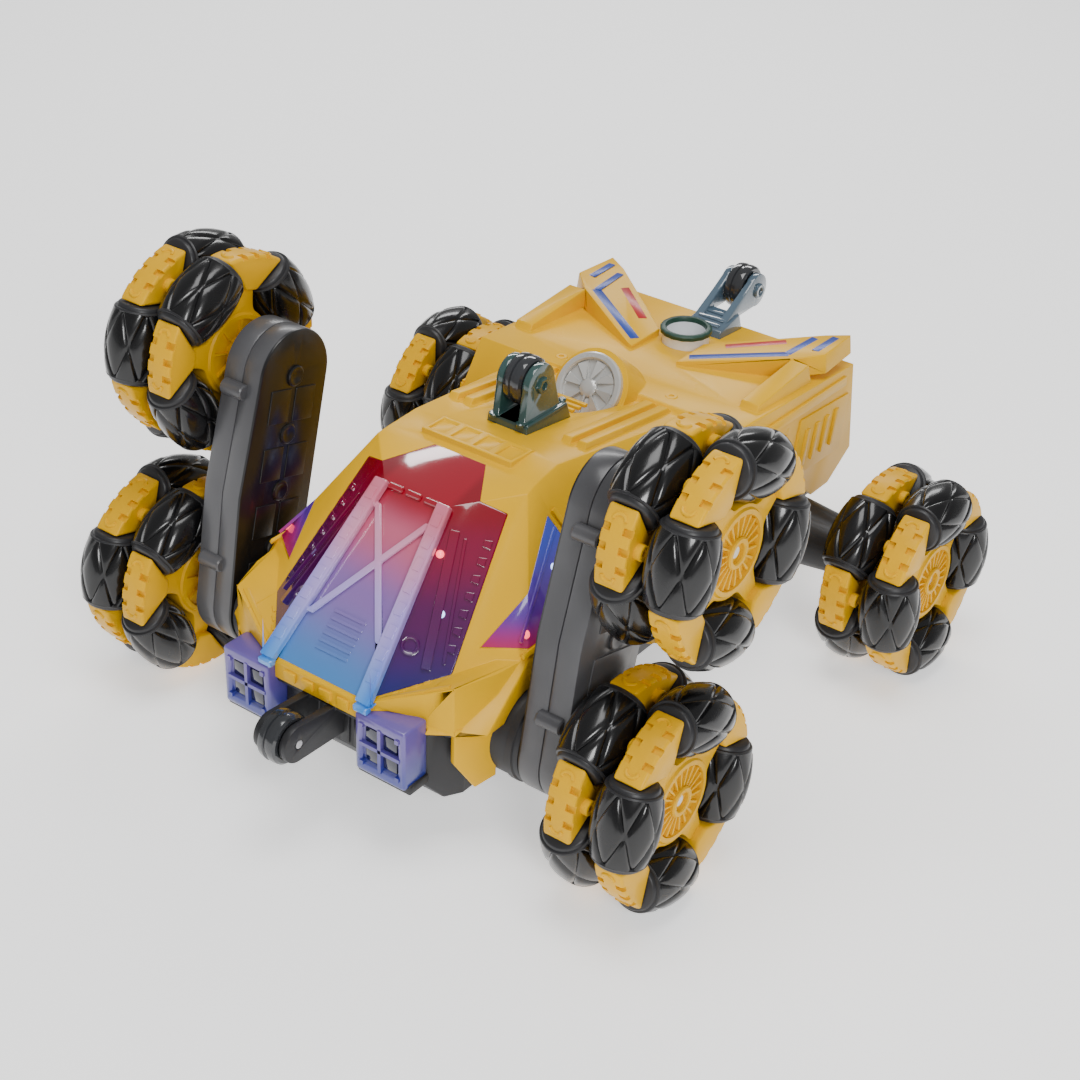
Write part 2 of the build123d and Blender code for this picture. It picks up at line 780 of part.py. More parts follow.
with BuildPart() as light_bars:
    for flip in (1, -1):
        add(block(bar_plane, [(flip * x, y) for x, y in light_bar], light_bar_thickness))
        add(block(bar_plane, [(flip * x, y) for x, y in light_brace], light_bar_thickness / 2))
        add(block(side_plane(flip * light_bar_foot_x), light_bar_drop, flip * light_bar_width))
save(light_bars.part, "light_bars")

for side, name in ((1, "left"), (-1, "right")):
    with BuildPart() as headlamp:
        add(lamp_box(side))
        centre = (side * (lamp_inner_x + lamp_outer_x) / 2, (lamp_bottom + lamp_top) / 2)
        with BuildSketch(front_plane(lamp_front)):
            with Locations(centre):
                Rectangle(lamp_outer_x - lamp_inner_x - 3 * wall, lamp_top - lamp_bottom - 4 * wall)
        extrude(amount=-lamp_window_depth, mode=Mode.SUBTRACT)
    save(headlamp.part, f"{name}_headlamp")

with BuildPart() as turbine_disc:
    with BuildSketch(turbine_plane):
        Circle(turbine_radius)
    extrude(amount=-turbine_thickness)
save(turbine_disc.part, "turbine_disc")


# ---------------------------------------------------------------- chassis
def tub(inset):
    """The chassis tub; its front corners are cut back."""
    side_points = [
        (-37, shell_bottom),
        (-38, 32),
        (-28, ground_clearance),
        (wheel_base + 17, ground_clearance),
        (wheel_base + 30, 34),
        (wheel_base + 31, shell_bottom),
    ]
    plan = both_sides([(18, -40), (40, -34), (tub_half_width, -22), (tub_half_width, wheel_base + 33)])
    with BuildPart() as tub_block:
        add(block(side_plane(), side_points, tub_half_width - inset, True, inset))
        add(block(top_plane(0), plan, roof_front_height, inset=inset), mode=Mode.INTERSECT)
    return tub_block.part


def flat_box(half_width, front, rear, low, high):
    """A box centred on X = 0."""
    corners = [(-half_width, front), (half_width, front), (half_width, rear), (-half_width, rear)]
    return block(top_plane(low), corners, high - low)


battery_rear = battery_front + battery_length
bay_half_width = battery_half_width + bay_margin
standoff_places = [(x, y) for x in (-standoff_x, standoff_x) for y in (battery_front - 3, battery_rear + 3)]
switch_reach = battery_rear + switch_from_battery
cover_top = ground_clearance + wall / 2
with BuildPart() as tub_hollow:
    add(tub(wall))
    # open above, through the flange as well
    add(flat_box(tub_half_width - wall, -30, wheel_base + 27, shell_bottom - wall - 1, shell_bottom + 1))

with BuildPart() as chassis:
    add(tub(0))
    # flange that the body shell stands on
    add(block(top_plane(shell_bottom - wall), body_plan, wall, inset=wall / 2))
    add(bosses.part)
    add(tub_hollow.part, mode=Mode.SUBTRACT)
    with BuildSketch(top_plane(floor)):
        with Locations(*roof_post_places):
            Circle(post_radius)
    extrude(amount=shell_bottom - floor)
    with BuildSketch(top_plane(floor)):
        with Locations(*standoff_places):
            Circle(standoff_radius)
    extrude(amount=board_height - floor)
    add(idler_ears(-front_idler_reach, front_idler_height, [(-36, 36), (-36, 49)], front_ear_radius))
    # bores of the swing arms' tubes and of the rear axles
    for side in (1, -1):
        for reach, radius in ((0, pivot_tube_radius), (wheel_base, axle_radius)):
            bore = round_bar(0, side * arm_outer_x, reach, axle_height, radius + running_clearance)
            add(bore, mode=Mode.SUBTRACT)
        add(lamp_box(side), mode=Mode.SUBTRACT)
    # battery bay with a ledge for its cover, the switch's slot and the screw holes
    bay = flat_box(bay_half_width, battery_front - bay_margin, battery_rear + bay_margin, 0, floor)
    add(bay, mode=Mode.SUBTRACT)
    ledge_half = bay_half_width + cover_ledge
    ledge = flat_box(ledge_half, battery_front - cover_ledge, battery_rear + cover_ledge, 0, cover_top)
    add(ledge, mode=Mode.SUBTRACT)
    slot_end = switch_reach + switch_length + switch_travel + part_gap
    switch_slot = flat_box(switch_half_width + part_gap, switch_reach - part_gap, slot_end, 0, floor)
    add(switch_slot, mode=Mode.SUBTRACT)
    with BuildSketch(top_plane(0)):
        with Locations(*roof_post_places):
            Circle(screw_head_radius)
    extrude(amount=floor, mode=Mode.SUBTRACT)
    with BuildSketch(top_plane(floor)):
        with Locations(*roof_post_places):
            Circle(screw_radius)
    extrude(amount=shell_bottom, mode=Mode.SUBTRACT)
save(chassis.part, "chassis")

cover_ends = (battery_front - cover_ledge, battery_rear + cover_ledge)
save(flat_box(ledge_half, *cover_ends, ground_clearance, cover_top), "battery_cover")
battery = flat_box(battery_half_width, battery_front, battery_rear, cover_top, cover_top + battery_height)
save(battery, "battery_pack")

with BuildPart() as circuit_board:
    board_front, board_rear = battery_front - board_margin, battery_rear + board_margin
    add(flat_box(board_half_width, board_front, board_rear, board_height, board_height + board_thickness))
    chips = board_height + board_thickness
    # the radio chip and the plug block
    add(flat_box(6, battery_front + 12, battery_front + 24, chips, chips + 2))
    add(flat_box(10, battery_front + 34, battery_front + 42, chips, chips + 7))
save(circuit_board.part, "circuit_board")

with BuildPart() as gearboxes:
    gearbox_top = axle_height + gearbox_rise
    front_box_end = layshaft_reach + 3 * wall + 3
    rear_box_front = wheel_base - gearbox_rear
    add(flat_box(gearbox_half_width, -gearbox_front, front_box_end, floor, gearbox_top))
    add(flat_box(gearbox_half_width, rear_box_front, wheel_base + gearbox_rear, floor, gearbox_top))
    for front in (front_box_end, rear_box_front - motor_length):
        for x in (-motor_x, motor_x):
            with BuildSketch(Plane(origin=(x, at_y(front), axle_height), x_dir=(1, 0, 0), z_dir=(0, 1, 0))):
                Circle(motor_radius)
            extrude(amount=motor_length)
    bore_radius = axle_radius + running_clearance
    for reach in (0.0, wheel_base):
        for side in (1, -1):
            start = side * (axle_start - part_gap)
            axle_bore = round_bar(start, side * gearbox_half_width, reach, axle_height, bore_radius)
            add(axle_bore, mode=Mode.SUBTRACT)
    lay_start, lay_length = -gearbox_half_width, 2 * gearbox_half_width
    lay_bore = round_bar(lay_start, lay_length, layshaft_reach, axle_height, bore_radius)
    add(lay_bore, mode=Mode.SUBTRACT)
save(gearboxes.part, "motor_gearboxes")

with BuildPart() as mist_tank:
    tank_ends = (filler_reach - tank_half_length, filler_reach + tank_half_length)
    add(flat_box(tank_half_width, *tank_ends, tank_bottom, tank_top))
    with BuildSketch(top_plane(tank_top)):
        with Locations((0, filler_reach)):
            Circle(filler_radius + filler_wall)
    extrude(amount=filler_top - tank_top)
    with BuildSketch(top_plane(filler_top)):
        with Locations((0, filler_reach)):
            Circle(filler_radius)
    extrude(amount=-filler_depth, mode=Mode.SUBTRACT)
save(mist_tank.part, "mist_tank")

with BuildPart() as filler_ring:
    with BuildSketch(top_plane(filler_top)):
        with Locations((0, filler_reach)):
            Circle(filler_radius + filler_wall + 1)
            Circle(filler_radius, mode=Mode.SUBTRACT)
    extrude(amount=filler_ring_rise)
save(filler_ring.part, "filler_ring")

with BuildPart() as power_switch:
    switch_rear = switch_reach + switch_length
    switch_top = floor + switch_rise
    add(flat_box(switch_half_width, switch_reach, switch_rear, ground_clearance - switch_rise, switch_top))
    plate_ends = (switch_reach - switch_plate_margin, switch_rear + switch_plate_margin)
    add(flat_box(switch_plate_half_width, *plate_ends, floor + switch_plate_gap, switch_top))
save(power_switch.part, "power_switch")

with BuildPart() as screws:
    with BuildSketch(top_plane(ground_clearance)):
        with Locations(*roof_post_places):
            Circle(screw_head_radius)
    extrude(amount=wall)
    with BuildSketch(top_plane(floor)):
        with Locations(*roof_post_places):
            Circle(screw_radius)
    extrude(amount=shell_bottom + screw_bite - floor)
save(screws.part, "body_screws")


# ---------------------------------------------------------------- idler wheels and their pins
idler_places = {
    "front_idler_wheel": (-front_idler_reach, front_idler_height),
    "roof_idler_wheel": (roof_idler_reach, roof_idler_height),
    "rear_idler_wheel": (rear_idler_reach, rear_idler_height),
}
for name, (reach, height) in idler_places.items():
    with BuildPart() as idler:
        add(round_bar(-idler_width / 2, idler_width, reach, height, idler_radius))
        bore = round_bar(-idler_width, 2 * idler_width, reach, height, idler_pin_radius + running_clearance)
        add(bore, mode=Mode.SUBTRACT)
        rim = idler.edges().filter_by(GeomType.CIRCLE).filter_by(lambda e: e.radius > idler_radius / 2)
        chamfer(rim, idler_chamfer)
    save(idler.part, name)

with BuildPart() as idler_pins:
    for reach, height in idler_places.values():
        pin_half = idler_width / 2 + part_gap + ear_thickness
        add(round_bar(-pin_half, 2 * pin_half, reach, height, idler_pin_radius))
save(idler_pins.part, "idler_pins")
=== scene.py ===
from math import asin, cos, exp, pi, radians, sin, sqrt, tan

import bmesh
import bpy
from mathutils import Matrix, Vector


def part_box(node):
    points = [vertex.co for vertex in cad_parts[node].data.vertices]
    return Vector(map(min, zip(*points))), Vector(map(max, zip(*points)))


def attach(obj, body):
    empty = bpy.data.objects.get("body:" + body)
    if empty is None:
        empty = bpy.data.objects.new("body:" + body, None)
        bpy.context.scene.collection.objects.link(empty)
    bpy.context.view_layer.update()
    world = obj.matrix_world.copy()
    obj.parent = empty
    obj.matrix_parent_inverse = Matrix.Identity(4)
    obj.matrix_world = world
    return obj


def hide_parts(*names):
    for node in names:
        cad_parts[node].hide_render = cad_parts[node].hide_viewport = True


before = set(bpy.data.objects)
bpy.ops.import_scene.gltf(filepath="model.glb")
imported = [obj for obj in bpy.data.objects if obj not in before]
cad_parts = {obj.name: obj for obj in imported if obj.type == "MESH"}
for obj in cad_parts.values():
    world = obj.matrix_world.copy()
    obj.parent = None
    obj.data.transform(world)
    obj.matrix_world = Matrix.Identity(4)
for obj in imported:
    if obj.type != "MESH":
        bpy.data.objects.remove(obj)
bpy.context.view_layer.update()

# ---- Camera. A long lens looks down on the car from its front left, a little rolled, as a catalogue
# picture is taken; it aims just above the floor's middle.
bearing, height_angle, roll = radians(35.72), radians(31.7), radians(2.2)
camera_distance = 0.7494
camera_aim = Vector((0.0057, -0.0048, 0.05935))
camera_back = Vector((
    sin(bearing) * cos(height_angle),
    -cos(bearing) * cos(height_angle),
    sin(height_angle),
))
camera = bpy.data.objects.new("camera", bpy.data.cameras.new("camera"))
camera.data.lens = 66.56
camera.data.sensor_width = 36
camera.location = camera_aim + camera_back * camera_distance
camera_right = Vector((0, 0, 1)).cross(camera_back).normalized()
camera_up = camera_back.cross(camera_right)
turned_right = camera_right * cos(roll) + camera_up * sin(roll)
turned_up = camera_up * cos(roll) - camera_right * sin(roll)
camera.rotation_euler = Matrix((turned_right, turned_up, camera_back)).transposed().to_euler()
bpy.context.scene.collection.objects.link(camera)
bpy.context.scene.camera = camera

# ---- Studio. A seamless pale floor under a bright room, with a large soft lamp over the car, one at its
# front left and a strip behind, which draws the long highlights on the gloss black rollers.
floor_mesh = bpy.data.meshes.new("studio_floor")
reach = 6.0
floor_mesh.from_pydata(
    [(-reach, -reach, 0), (reach, -reach, 0), (reach, reach, 0), (-reach, reach, 0)], [], [(0, 1, 2, 3)]
)
studio_floor = bpy.data.objects.new("studio_floor", floor_mesh)
bpy.context.scene.collection.objects.link(studio_floor)
floor_paint = bpy.data.materials.new("studio_floor")
floor_paint.use_nodes = True
floor_paint.node_tree.nodes["Principled BSDF"].inputs["Base Color"].default_value = (0.9, 0.9, 0.9, 1)
floor_paint.node_tree.nodes["Principled BSDF"].inputs["Roughness"].default_value = 0.9
floor_paint.node_tree.nodes["Principled BSDF"].inputs["Emission Color"].default_value = (1, 1, 1, 1)
floor_paint.node_tree.nodes["Principled BSDF"].inputs["Emission Strength"].default_value = 0.75
floor_mesh.materials.append(floor_paint)
room = bpy.data.worlds.new("room")
room.use_nodes = True
room.node_tree.nodes["Background"].inputs["Color"].default_value = (1, 1, 1, 1)
room.node_tree.nodes["Background"].inputs["Strength"].default_value = 0.34
bpy.context.scene.world = room


def soft_lamp(name, place, aim, size, power):
    lamp = bpy.data.objects.new(name, bpy.data.lights.new(name, "AREA"))
    lamp.data.shape = "RECTANGLE"
    lamp.data.size, lamp.data.size_y = size
    lamp.data.energy = power
    lamp.location = place
    lamp.rotation_euler = (Vector(place) - Vector(aim)).to_track_quat("Z", "Y").to_euler()
    bpy.context.scene.collection.objects.link(lamp)


soft_lamp("lamp_over", (0.1, -0.1, 1.1), (0, 0, 0.05), (0.6, 0.6), 7.5)
soft_lamp("lamp_front_left", (0.9, -0.8, 0.8), (0, 0, 0.08), (0.3, 0.4), 9)
soft_lamp("lamp_behind", (-0.6, 0.9, 0.8), (0, 0, 0.08), (0.9, 0.2), 6)

# ---- Rollers. Each is a barrel of gloss black rubber moulded over a core, its skin cut into six long
# diamond pads by V grooves, with a bead at both ends. Eight sit in each wheel on their own journals.
mm = 0.001
sides = {"left": 1, "right": -1}
wheel_names = [f"{side}_{place}_wheel" for side in sides for place in ("front", "upper", "rear")]
rollers_low, rollers_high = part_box("left_rear_wheel_rollers")
wheel_radius = (rollers_high.z - rollers_low.z) / 2
roller_axis_radius = 28.5 * mm
roller_fat = wheel_radius - roller_axis_radius
row_offset = (rollers_high.x - rollers_low.x) / 2 - roller_fat
roller_half_length = 14.5 * mm
pad_half_length = 12.3 * mm
pads = 6
groove_depth = 0.85 * mm


class Wire:
    """One output of a shader node; arithmetic on wires adds Math nodes."""

    def __init__(self, mix, socket):
        self.mix = mix
        self.socket = socket

    def math(self, operation, *values, clamp=False):
        settings = {"operation": operation, "use_clamp": clamp}
        return self.mix.node("ShaderNodeMath", settings, dict(enumerate(values)))

    def __add__(self, other):
        return self.math("ADD", self, other)

    def __sub__(self, other):
        return self.math("SUBTRACT", self, other)

    def __rsub__(self, other):
        return self.math("SUBTRACT", other, self)

    def __mul__(self, other):
        return self.math("MULTIPLY", self, other)

    def __truediv__(self, other):
        return self.math("DIVIDE", self, other)

    def size(self):
        return self.math("ABSOLUTE", self)

    def between(self, low, high):
        """0 below low, 1 above high and a smooth rise from one to the other."""
        inputs = {"Value": self, "From Min": low, "From Max": high}
        return self.mix.node("ShaderNodeMapRange", {"interpolation_type": "SMOOTHSTEP"}, inputs)

    def band(self, low, high, soft):
        return self.between(low - soft, low) * (1 - self.between(high, high + soft))

    __radd__ = __add__
    __rmul__ = __mul__


class Finish:
    """A material while it is being mixed."""

    def __init__(self, name, colour, roughness, **sockets):
        self.material = bpy.data.materials.new(name)
        self.material.use_nodes = True
        self.tree = self.material.node_tree
        self.shader = self.tree.nodes["Principled BSDF"]
        self.set("Base Color", (*colour, 1.0))
        self.set("Roughness", roughness)
        for socket, value in sockets.items():
            self.set(socket.replace("_", " "), value)
        place = self.tree.nodes.new("ShaderNodeTexCoord")
        self.place = Wire(self, place.outputs["Object"])

    def set(self, socket, value):
        self.join(self.shader.inputs[socket], value)

    def join(self, socket, value):
        if isinstance(value, Wire):
            self.tree.links.new(value.socket, socket)
        else:
            socket.default_value = value

    def node(self, kind, settings=None, inputs=None, out=0):
        made = self.tree.nodes.new(kind)
        for setting, value in (settings or {}).items():
            setattr(made, setting, value)
        for socket, value in (inputs or {}).items():
            self.join(made.inputs[socket], value)
        return Wire(self, made.outputs[out])

    def axes(self):
        split = self.tree.nodes.new("ShaderNodeSeparateXYZ")
        self.join(split.inputs[0], self.place)
        return [Wire(self, output) for output in split.outputs]

    def noise(self, scale, detail=2.0, roughness=0.5):
        inputs = {"Vector": self.place, "Scale": scale, "Detail": detail, "Roughness": roughness}
        return self.node("ShaderNodeTexNoise", None, inputs)

    def blend(self, share, first, second):
        """A colour between two; each is a wire or three numbers."""
        made = self.tree.nodes.new("ShaderNodeMix")
        made.data_type = "RGBA"
        self.join(made.inputs[0], share)
        for socket, colour in ((6, first), (7, second)):
            self.join(made.inputs[socket], colour if isinstance(colour, Wire) else (*colour, 1.0))
        return Wire(self, made.outputs[2])

    def bump(self, height, distance, strength=1.0):
        inputs = {"Height": height, "Distance": distance, "Strength": strength}
        self.set("Normal", self.node("ShaderNodeBump", None, inputs))


def moulded(name, colour, roughness, shade=0.85, grain=0.00002, coat=0.0, metallic=0.0, specular=0.4):
    """Moulded plastic: a faint drift of tone, a fine grain, and patches that are handled smoother."""
    finish = Finish(name, colour, roughness, Metallic=metallic, Coat_Weight=coat, Specular_IOR_Level=specular)
    drift = finish.noise(18.0, 3.0)
    dark = tuple(c * shade for c in colour)
    finish.set("Base Color", finish.blend(drift.between(0.35, 0.7), dark, colour))
    finish.set("Roughness", finish.noise(55.0, 4.0) * 0.16 + (roughness - 0.08))
    finish.bump(finish.noise(2600.0, 2.0), grain, 0.5)
    return finish.material


def piece(name, mesh, body, node=None, finish=None, smooth=30):
    """Stands a finished mesh in the car, on its body, in place of its CAD node."""
    made = bpy.data.objects.new(name, mesh)
    bpy.context.scene.collection.objects.link(made)
    if finish is not None:
        mesh.materials.clear()
        mesh.materials.append(finish)
    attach(made, body)
    if node:
        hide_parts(node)
    if smooth:
        soften(mesh, smooth)
    return made


def soften(mesh, degrees):
    """Smooth shading that stays sharp where faces meet at more than that angle."""
    mesh.shade_smooth()
    mesh.set_sharp_from_angle(angle=radians(degrees))


def as_mesh(name, shape):
    shape.normal_update()
    mesh = bpy.data.meshes.new(name)
    shape.to_mesh(mesh)
    shape.free()
    return mesh


def roller_radius(along):
    return sqrt(wheel_radius**2 - along**2) - roller_axis_radius


def diamond_skin(shape):
    """The padded skin of one roller: a net of diamonds, each dipping to a groove along its four sides."""
    steps = (-1, -0.9, -0.74, -0.4, 0, 0.4, 0.74, 0.9, 1)

    def corner(around, along, p, q):
        turn = (around + (p + q) / 2) * pi / pads
        share = along + (p - q) / 2
        s = pad_half_length * (0.55 * share + 0.45 * sin(share * pi / 2))
        dip = max(0, (max(abs(p), abs(q)) - 0.76) / 0.24) ** 1.5
        radius = roller_radius(s) - groove_depth * dip
        return shape.verts.new((radius * sin(turn), radius * cos(turn), s))

    count = len(steps)
    for around in range(2 * pads):
        for along in ((0,) if around % 2 == 0 else (-1, 1)):
            net = {}
            for i in range(count):
                for j in range(count):
                    if along * (i - j) <= 0:
                        net[i, j] = corner(around, along, steps[i], steps[j])
            for i in range(count - 1):
                for j in range(count - 1):
                    cell = [(i, j), (i + 1, j), (i + 1, j + 1), (i, j + 1)]
                    kept = [net[c] for c in cell if c in net]
                    if len(kept) > 2:
                        shape.faces.new(kept)
    bmesh.ops.remove_doubles(shape, verts=shape.verts, dist=0.02 * mm)
    rim = [edge for edge in shape.edges if edge.is_boundary]
    bmesh.ops.holes_fill(shape, edges=rim, sides=0)
    bmesh.ops.recalc_face_normals(shape, faces=shape.faces)


def lathe(shape, profile, segments=48):
    """Turns a list of (radius, along) corners about the Z axis into a closed round solid."""
    rings = []
    for radius, along in profile:
        rings.append([
            shape.verts.new((radius * cos(2 * pi * k / segments), radius * sin(2 * pi * k / segments), along))
            for k in range(segments)
        ])
    for low, high in zip(rings, rings[1:]):
        for k in range(segments):
            m = (k + 1) % segments
            shape.faces.new((low[k], low[m], high[m], high[k]))
    shape.faces.new(list(reversed(rings[0])))
    shape.faces.new(rings[-1])


def eight_rollers(draw, name):
    """Copies one roller's solid to the eight places of a wheel, both rows."""
    one = bmesh.new()
    draw(one)
    single = as_mesh(name + "_single", one)
    whole = bmesh.new()
    for row, first in ((-1, 45), (1, 0)):
        for k in range(4):
            start = len(whole.verts)
            whole.from_mesh(single)
            whole.verts.ensure_lookup_table()
            turn = Matrix.Rotation(radians(first + 90 * k), 4, "X")
            place = Matrix.Translation((row * row_offset, 0, 0)) @ turn @ Matrix.Translation(
                (0, roller_axis_radius, 0)
            )
            bmesh.ops.transform(whole, matrix=place, verts=whole.verts[start:])
    return as_mesh(name, whole)


def draw_collars(shape):
    """Both end collars of one roller, with the bead against the pads and the journal."""
    edge = roller_radius(pad_half_length)
    tip = roller_radius(roller_half_length)
    journal = 1.9 * mm
    half = [
        (edge - 1.6 * mm, pad_half_length - 1.2 * mm),
        (edge - 0.25 * mm, pad_half_length - 0.5 * mm),
        (edge + 0.05 * mm, pad_half_length + 0.1 * mm),
        (edge - 0.25 * mm, pad_half_length + 0.6 * mm),
        (edge - 1.0 * mm, pad_half_length + 0.7 * mm),
        (tip - 0.5 * mm, roller_half_length - 0.5 * mm),
        (tip - 1.1 * mm, roller_half_length),
        (journal, roller_half_length),
        (journal, roller_half_length + 3.8 * mm),
    ]
    for end in (1, -1):
        start = len(shape.verts)
        lathe(shape, half)
        shape.verts.ensure_lookup_table()
        if end < 0:
            bmesh.ops.transform(shape, matrix=Matrix.Rotation(pi, 4, "X"), verts=shape.verts[start:])


roller_rubber = Finish(
    "roller_rubber",
    (0.004, 0.004, 0.0045),
    0.2,
    Coat_Weight=0.25,
    Coat_Roughness=0.06,
    Specular_IOR_Level=0.4,
)
roller_rubber.set("Roughness", roller_rubber.noise(90.0, 4.0) * 0.22 + 0.14)
roller_rubber.bump(roller_rubber.noise(1500.0), 0.00001, 0.4)
collar_plastic = moulded("collar_plastic", (0.022, 0.022, 0.024), 0.4)
roller_skin = eight_rollers(diamond_skin, "roller_skin")
roller_collars = eight_rollers(draw_collars, "roller_collars")
soften(roller_skin, 50)
soften(roller_collars, 40)


def stand_on_wheel(mesh, name, label, node):
    """Puts one of a wheel's meshes on it: its axle along X, outer side out, turned as it is at rest."""
    low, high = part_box(f"{name}_rollers")
    side = 1 if low.x > 0 else -1
    phase = 0 if "rear" in name else side * -15
    turned_name = f"{mesh.name}_{phase}"
    if turned_name not in bpy.data.meshes:
        turned_mesh = mesh.copy()
        turned_mesh.name = turned_name
        turned_mesh.transform(Matrix.Rotation(radians(phase), 4, "X"))
    made = bpy.data.objects.new(f"{name}_{label}_made", bpy.data.meshes[turned_name])
    bpy.context.scene.collection.objects.link(made)
    made.matrix_world = Matrix.Translation((low + high) / 2) @ Matrix.Rotation(0 if side > 0 else pi, 4, "Z")
    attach(made, name)
    if node:
        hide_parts(f"{name}_{node}")


roller_skin.materials.append(roller_rubber.material)
roller_collars.materials.append(collar_plastic)
for name in wheel_names:
    stand_on_wheel(roller_skin, name, "rollers", "rollers")
    stand_on_wheel(roller_collars, name, "roller_collars", None)

# ---- Hubs. Each row has a yellow moulded star: four arms between the rollers end in curved brackets that
# carry the roller journals. The outer face has a sunk disc with fine radiating ribs round a ring.
yellow_plastic = moulded("yellow_plastic", (0.8, 0.43, 0.0), 0.34, shade=0.86, specular=0.14)
bracket_radius = 37.4 * mm
bracket_half_width = 5.5 * mm
wedge_apex = 21.0 * mm
star_waist = 16.4 * mm
star_rise = 15.0 * mm


def prism(shape, outline, low, high, bevel=0.0, steps=2):
    """A straight solid along X from a closed outline of (y, z) corners, its edges rounded."""
    start = len(shape.verts)
    ends = [[shape.verts.new((x, y, z)) for y, z in outline] for x in (low, high)]
    faces = [shape.faces.new(list(reversed(ends[0]))), shape.faces.new(ends[1])]
    for k in range(len(outline)):
        m = (k + 1) % len(outline)
        faces.append(shape.faces.new((ends[0][k], ends[0][m], ends[1][m], ends[1][k])))
    bmesh.ops.recalc_face_normals(shape, faces=faces)
    if bevel:
        edges = [e for e in shape.edges if e.link_faces[0] in faces]
        sharp = [e for e in edges if len(e.link_faces) == 2 and e.calc_face_angle(0) > radians(25)]
        bmesh.ops.bevel(
            shape, geom=sharp, offset=bevel, segments=steps, profile=0.5, affect="EDGES", clamp_overlap=True
        )
    shape.verts.ensure_lookup_table()
    return start


def carve(mesh, cutter, operation="DIFFERENCE"):
    """Cuts one mesh by another, or joins them, and leaves the result in the first."""
    base = bpy.data.objects.new("carve_base", mesh)
    tool = bpy.data.objects.new("carve_tool", cutter)
    for one in (base, tool):
        bpy.context.scene.collection.objects.link(one)
    cut = base.modifiers.new("cut", "BOOLEAN")
    cut.operation = operation
    cut.solver = "EXACT"
    cut.object = tool
    result = bpy.data.meshes.new_from_object(base.evaluated_get(bpy.context.evaluated_depsgraph_get()))
    result.name = mesh.name
    for one in (base, tool):
        bpy.data.objects.remove(one)
    return result


def bracket_outline(radius):
    """A wedge open outwards: a curved top and two sides that stand square to the rollers' ends."""
    half = radians(45) - asin(wedge_apex / sqrt(2) / radius)
    arc = [(radius * cos(a), radius * sin(a)) for a in (half * (k / 8 - 1) for k in range(17))]
    return arc + [(wedge_apex + 3 * mm, 2.6 * mm), (wedge_apex + 3 * mm, -2.6 * mm)]


def box_in(shape, low, high):
    """A plain box between two corners."""
    centre = (Vector(low) + Vector(high)) / 2
    size = Vector(high) - Vector(low)
    matrix = Matrix.Translation(centre) @ Matrix.Diagonal((*size, 1))
    return bmesh.ops.create_cube(shape, size=1, matrix=matrix)["verts"]


def bracket():
    """One roller bracket, lying along +Y, with three pairs of notches and an arch at each end."""
    body = bmesh.new()
    prism(body, bracket_outline(bracket_radius), -bracket_half_width, bracket_half_width, 1.3 * mm, 3)
    notches = bmesh.new()
    for k in (-1, 0, 1):
        for edge in (-1, 1):
            turn = Matrix.Rotation(radians(9.6 * k), 4, "X")
            inner, outer = sorted((edge * 2.3 * mm, edge * 6.2 * mm))
            corners = box_in(notches, (inner, 36.0 * mm, -1.25 * mm), (outer, 39 * mm, 1.25 * mm))
            bmesh.ops.transform(notches, matrix=turn, verts=corners)
    cut = carve(as_mesh("bracket", body), as_mesh("notches", notches))
    whole = bmesh.new()
    whole.from_mesh(cut)
    for end in (-1, 1):
        arch = []
        for k in range(7):
            a = pi * k / 6
            arch.append(Vector((2.3 * mm * cos(a), 0, end * 2.0 * mm * sin(a))))
        tube(
            whole,
            arch,
            0.7 * mm,
            Matrix.Rotation(radians(end * 14.2), 4, "X") @ Matrix.Translation((0, 37.3 * mm, 0)),
        )
    boss = bmesh.new()
    lathe(
        boss,
        [
            (2.7 * mm, 0),
            (2.7 * mm, 2.2 * mm),
            (2.3 * mm, 2.5 * mm),
            (1.4 * mm, 2.5 * mm),
            (1.4 * mm, 0.6 * mm),
        ],
        24,
    )
    bmesh.ops.transform(
        boss,
        matrix=Matrix.Translation((-5.4 * mm, 31 * mm, 0)) @ Matrix.Rotation(-pi / 2, 4, "Y"),
        verts=boss.verts,
    )
    whole.from_mesh(as_mesh("boss", boss))
    return as_mesh("bracket", whole)


def tube(shape, path, radius, matrix, sides=8):
    """A thin round bar along a few points."""
    rings = []
    for k, point in enumerate(path):
        ahead = (path[min(k + 1, len(path) - 1)] - path[max(k - 1, 0)]).normalized()
        across = ahead.orthogonal().normalized() if abs(ahead.y) > 0.9 else ahead.cross(
            Vector((0, 1, 0))
        ).normalized()
        up = across.cross(ahead)
        rings.append([
            shape.verts.new(
                matrix @ (
                    point + radius * (across * cos(2 * pi * s / sides) + up * sin(2 * pi * s / sides))
                )
            )
            for s in range(sides)
        ])
    faces = [shape.faces.new(rings[0]), shape.faces.new(rings[-1])]
    for low, high in zip(rings, rings[1:]):
        for s in range(sides):
            m = (s + 1) % sides
            faces.append(shape.faces.new((low[s], low[m], high[m], high[s])))
    bmesh.ops.recalc_face_normals(shape, faces=faces)


def star_outline():
    points = []
    for k in range(4):
        for step in range(-14, 14):
            off = radians(45) * step / 14
            radius = star_waist + star_rise * exp(-((off / radians(10.5)) ** 2))
            angle = radians(45 + 90 * k) + off
            points.append((radius * cos(angle), radius * sin(angle)))
    return points


